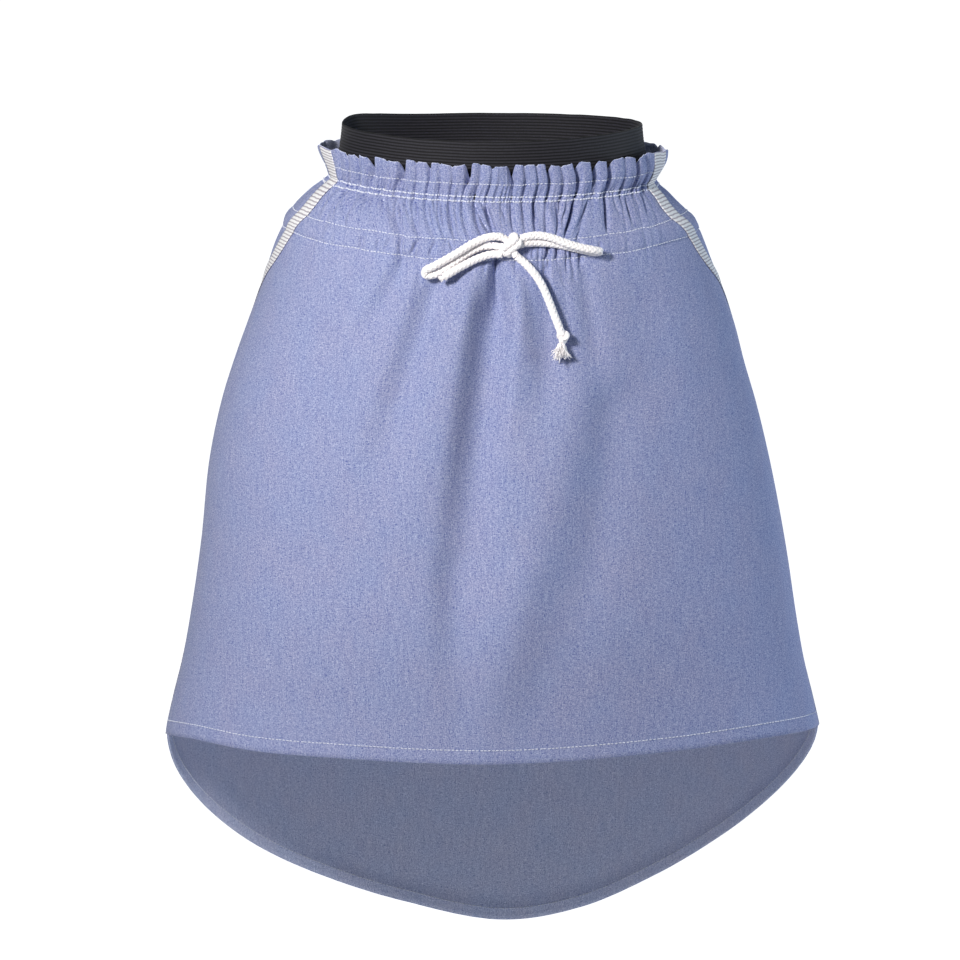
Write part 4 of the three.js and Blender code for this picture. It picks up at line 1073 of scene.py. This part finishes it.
def off_front(x, below, out):
    """A place off the front cloth, its gathers left out, as in the CAD."""
    x, below, out = (np.asarray(v, float) for v in (x, below, out))
    angle = np.arcsin((x - lean_at(below)) / half_at(below))
    depth = read(SECTIONS, "below", below, "front")
    at = np.stack((x, -depth * np.cos(angle), seam_height(FRONT, angle) - below), -1)
    return at + outward(FRONT, angle, below) * (out + CASING_PUFF * 0.6)[..., None]


def spline(points, step):
    """Evenly spaced points on a smooth curve through the given ones."""
    points = np.asarray(points, float)
    padded = np.concatenate(([2 * points[0] - points[1]], points, [2 * points[-1] - points[-2]]))
    steps = np.sqrt(np.linalg.norm(np.diff(padded, axis=0), axis=1))
    knots = np.concatenate(([0], np.cumsum(steps)))
    dense = []
    for i in range(1, len(padded) - 2):
        places, times = padded[i - 1:i + 3], knots[i - 1:i + 3]
        t = np.linspace(times[1], times[2], 40, endpoint=False)[:, None]

        def between(p, q, start, end):
            s, e = times[start], times[end]
            return (e - t) / (e - s) * p + (t - s) / (e - s) * q

        near = [between(places[k], places[k + 1], k, k + 1) for k in range(3)]
        pair = between(near[0], near[1], 0, 2), between(near[1], near[2], 1, 3)
        dense.append(between(*pair, 1, 2))
    dense = np.concatenate(dense + [points[-1:]])
    way = distances(dense)
    at = np.linspace(0, way[-1], max(4, int(round(way[-1] / step)) + 1))
    return np.stack([np.interp(at, way, dense[:, i]) for i in range(3)], -1), way[-1]


def braid(path, radius, around=24, strands=8, rough=0.17, closed=False, taper=None, phase=0.0):
    """A braided tube on a path: points, faces and UVs. Strands cross over and under each other."""
    n = len(path)
    if closed:
        tangent = np.roll(path, -1, 0) - np.roll(path, 1, 0)
    else:
        tangent = np.gradient(path, axis=0)
    tangent = unit(tangent)
    side = np.cross(tangent[0], (0.1, 0.3, 1.0))
    side /= np.linalg.norm(side)
    sides = []
    for t in tangent:
        side = side - t * side.dot(t)
        side /= np.linalg.norm(side)
        sides.append(side)
    sides = np.array(sides)
    twist = 0.0
    if closed:
        twist = math.atan2(np.cross(sides[-1], sides[0]).dot(tangent[0]), sides[-1].dot(sides[0]))
    ups = np.cross(tangent, sides)
    way = distances(path)
    a = np.arange(around) / around * TURN
    turn = a[None] + (twist * np.arange(n) / n)[:, None]
    phi = a[None] * (strands // 2)
    run = (way / BRAID_LAY * TURN)[:, None] + phase
    height = np.clip(np.maximum(np.cos(phi + run), np.cos(phi - run)), -0.2, 1)
    size = radius * (1 - rough + rough * 1.25 * height)
    if taper is not None:
        size = size * taper[:, None]
    points = path[:, None] + size[..., None] * (
        np.cos(turn)[..., None] * sides[:, None] + np.sin(turn)[..., None] * ups[:, None]
    )
    faces = ring_faces(n, around, closed)
    uv = np.stack(np.broadcast_arrays(a[None] * radius, way[:, None]), -1)
    points, uv = points.reshape(-1, 3), uv.reshape(-1, 2)
    if not closed:
        points = np.concatenate((points, path[:1], path[-1:]))
        uv = np.concatenate((uv, uv[:1], uv[-1:]))
        for i in range(around):
            j = (i + 1) % around
            faces.append((n * around, j, i))
            faces.append((n * around + 1, (n - 1) * around + i, (n - 1) * around + j))
    return points, faces, uv


def cotton_piece(name, parts, node):
    """One piece of cord cotton from tubes, in place of a CAD node."""
    faces, base = [], 0
    for points, part_faces, _ in parts:
        faces += [tuple(i + base for i in face) for face in part_faces]
        base += len(points)
    points, uvs = (np.concatenate([part[k] for part in parts]) for k in (0, 2))
    return piece(name, points, faces, uvs, [COTTON], [node])


def cord_piece(name, table, node, extra=(), reach=0.0):
    """A cord on its route. It may reach on past the route's end, into its knot."""
    route = off_front(**table)
    if reach:
        last = route[-1] - route[-2]
        route = np.concatenate((route, route[-1:] + last / np.linalg.norm(last) * reach))
    path, length = spline(route, 0.52)
    return cotton_piece(name, [braid(path, CORD / 2), *extra], node), path, length


def knot_turns():
    """The bow knot: a turn of cord crosses the front on a slant, over the strands' roots."""
    centre = off_front(**KNOT) - np.array((0, -1.2, 0))
    parts = []
    # the turn that crosses in front, from upper right to lower left and round behind
    t = np.linspace(0, TURN, 90, endpoint=False)
    slant = np.array((0.60, 0.0, 0.80))
    depth = np.array((0.0, -1.0, 0.0))
    bow = np.array((0.80, 0.0, -0.60))
    ring = (
        centre + np.outer(8.6 * np.cos(t), slant) + np.outer(4.7 * np.sin(t), depth)
        + np.outer(1.6 * np.sin(2 * t), bow)
    )
    for side, size in ((-2.4, 1.0), (2.5, 0.9)):
        turn = centre + (ring - centre) * size + bow * side + depth * abs(side) * -0.12
        parts.append(braid(turn, 2.8, closed=True, phase=side))
    # roots of the loops and ends, packed under it
    roots = (
        ((8.5, 35.2, 8.8), (12.5, 37.5, 7.8), (17.5, 40.5, 6.6)),
        ((-0.5, 40.4, 5.4), (7.5, 41.6, 6.0), (15.5, 42.0, 6.0)),
        ((23.2, 36.0, 8.8), (19.5, 38.5, 7.8), (14.5, 42.0, 6.6)),
        ((27.0, 38.8, 6.0), (21.0, 40.6, 6.2), (14.5, 42.0, 6.0)),
        ((8.3, 47.5, 6.0), (12.0, 45.8, 6.6), (16.5, 43.0, 6.6)),
        ((20.2, 49.5, 6.6), (18.0, 46.5, 7.0), (14.5, 42.5, 6.8)),
    )
    for k, root in enumerate(roots):
        x, below, out = (np.array(v) for v in zip(*root))
        path, _ = spline(off_front(x, below, out), 0.7)
        parts.append(braid(path, CORD / 2 * 0.94, phase=k * 0.9))
    cotton_piece("bow_knot_turns", parts, "bow_knot")


def end_knot_turns():
    """Overhand knot: one trefoil of cord, drawn tight."""
    centre = off_front(**END_KNOT)
    t = np.linspace(0, TURN, 110, endpoint=False)
    x = (np.sin(t) + 2 * np.sin(2 * t)) * 1.22
    z = (np.cos(t) - 2 * np.cos(2 * t)) * 1.34
    y = -np.sin(3 * t) * 1.9
    ring = centre + np.stack((x, y, z), -1)
    return cotton_piece("end_knot_turns", [braid(ring, 2.45, closed=True)], "end_knot")


def fibres(centre, count, reach, down, spread, seed, thick, curl, root=1.4):
    """Loose yarns that fan out from a cut end. down is the direction in which they leave."""
    rng = np.random.default_rng(seed)
    down = np.asarray(down, float)
    down /= np.linalg.norm(down)
    side = np.cross(down, (0.2, 1.0, 0.1))
    side /= np.linalg.norm(side)
    up = np.cross(down, side)
    parts = []
    for _ in range(count):
        turn, open_ = rng.uniform(0, TURN), rng.uniform(0.1, 1.0) ** 0.6 * spread
        away = side * math.cos(turn) + up * math.sin(turn)
        length = reach * rng.uniform(0.7, 1.05)
        t = np.linspace(0, 1, 7)[:, None]
        bend = open_ * (0.25 + 0.75 * t)
        step = down * np.cos(bend) + away * np.sin(bend)
        step = step + rng.normal(0, curl * 0.35, (7, 3))
        path = centre + away * root * rng.uniform(0, 1) + np.cumsum(step, 0) * length / 7
        path = np.concatenate((centre[None], path))
        taper = np.linspace(1.0, 0.45, 8)
        parts.append(braid(path, thick, around=5, strands=2, rough=0.05, taper=taper))
    return parts


def tuft():
    """The frayed end under the overhand knot."""
    centre = off_front(**TUFT) + np.array((0, 0, 4.4))
    parts = fibres(centre, 200, 12.5, (-0.08, -0.1, -1.0), 0.85, 7, 0.62, 1.0, 2.6)
    return cotton_piece("end_tuft_yarns", parts, "end_tuft")


loop_left, path_ll, length_ll = cord_piece("loop_left", LOOP_LEFT, "bow_loop_left")
loop_right, path_lr, length_lr = cord_piece("loop_right", LOOP_RIGHT, "bow_loop_right")
tail = off_front(**END_LEFT)
tail_way = tail[-1] - tail[-2]
cut = fibres(tail[-1] + tail_way * -0.06, 46, 4.6, tail_way, 0.9, 9, 0.5, 0.4)
end_left, path_el, length_el = cord_piece("end_left", END_LEFT, "cord_end_left", cut)
end_right, path_er, length_er = cord_piece("end_right", END_RIGHT, "cord_end_right", reach=3.2)
knot_turns()
end_knot = end_knot_turns()
end_tuft = tuft()


# Studio


def area_light(name, at, size, power, aim, tint):
    lamp = bpy.data.lights.new(name, "AREA")
    lamp.shape = "RECTANGLE"
    lamp.size, lamp.size_y = size
    lamp.energy = power
    lamp.color = tint
    obj = add_object(name, lamp)
    obj.location = at
    obj.rotation_euler = (Vector(aim) - Vector(at)).to_track_quat("-Z", "Y").to_euler()


FLOOR_Z = -1.5
FLOOR_FAR = 60.0
GLOW_BEHIND = 17.0
floor_mesh = bpy.data.meshes.new("floor")
corners = [(x * FLOOR_FAR, y * FLOOR_FAR, FLOOR_Z) for x, y in ((-1, -1), (1, -1), (1, 1), (-1, 1))]
floor_mesh.from_pydata(corners, [], [(0, 1, 2, 3)])
floor = add_object("floor", floor_mesh)
floor_nodes = Nodes("floor")
# the floor shines well behind the skirt, as where background lamps reach it
centred = floor_nodes.node(
    "ShaderNodeVectorMath", 1,
    {0: floor_nodes.coords.outputs["Object"], 1: (0, GLOW_BEHIND, FLOOR_Z)}, operation="DISTANCE",
)
glow = floor_nodes.ramp(floor_nodes.math("MULTIPLY", centred, 0.05), (0.725, 1.0), (0.76, 0.12))
floor_nodes.finish((0.9, 0.9, 0.9, 1), 1.0, None, 0.0, 0.0)
floor_nodes.shader.inputs["Emission Color"].default_value = (1, 1, 1, 1)
floor_nodes.put(floor_nodes.shader.inputs["Emission Strength"], glow)
floor_mesh.materials.append(floor_nodes.material)

world = bpy.data.worlds.new("studio")
bpy.context.scene.world = world
world.use_nodes = True
world.node_tree.nodes["Background"].inputs[0].default_value = (0.72, 0.86, 1, 1)
world.node_tree.nodes["Background"].inputs[1].default_value = 0.13
bpy.context.scene.view_settings.view_transform = "Standard"

area_light("key", (-0.8, -1.5, 0.65), (0.3, 0.3), 40, (0, 0, -0.25), (1, 0.975, 0.92))
area_light("side", (2.2, 0.2, 0.0), (0.7, 0.7), 25, (0, 0, -0.35), (0.75, 0.88, 1.0))
area_light("top", (-0.3, 0.1, 2.6), (1.2, 1.2), 9, (0, 0, 0), (0.9, 0.96, 1.0))
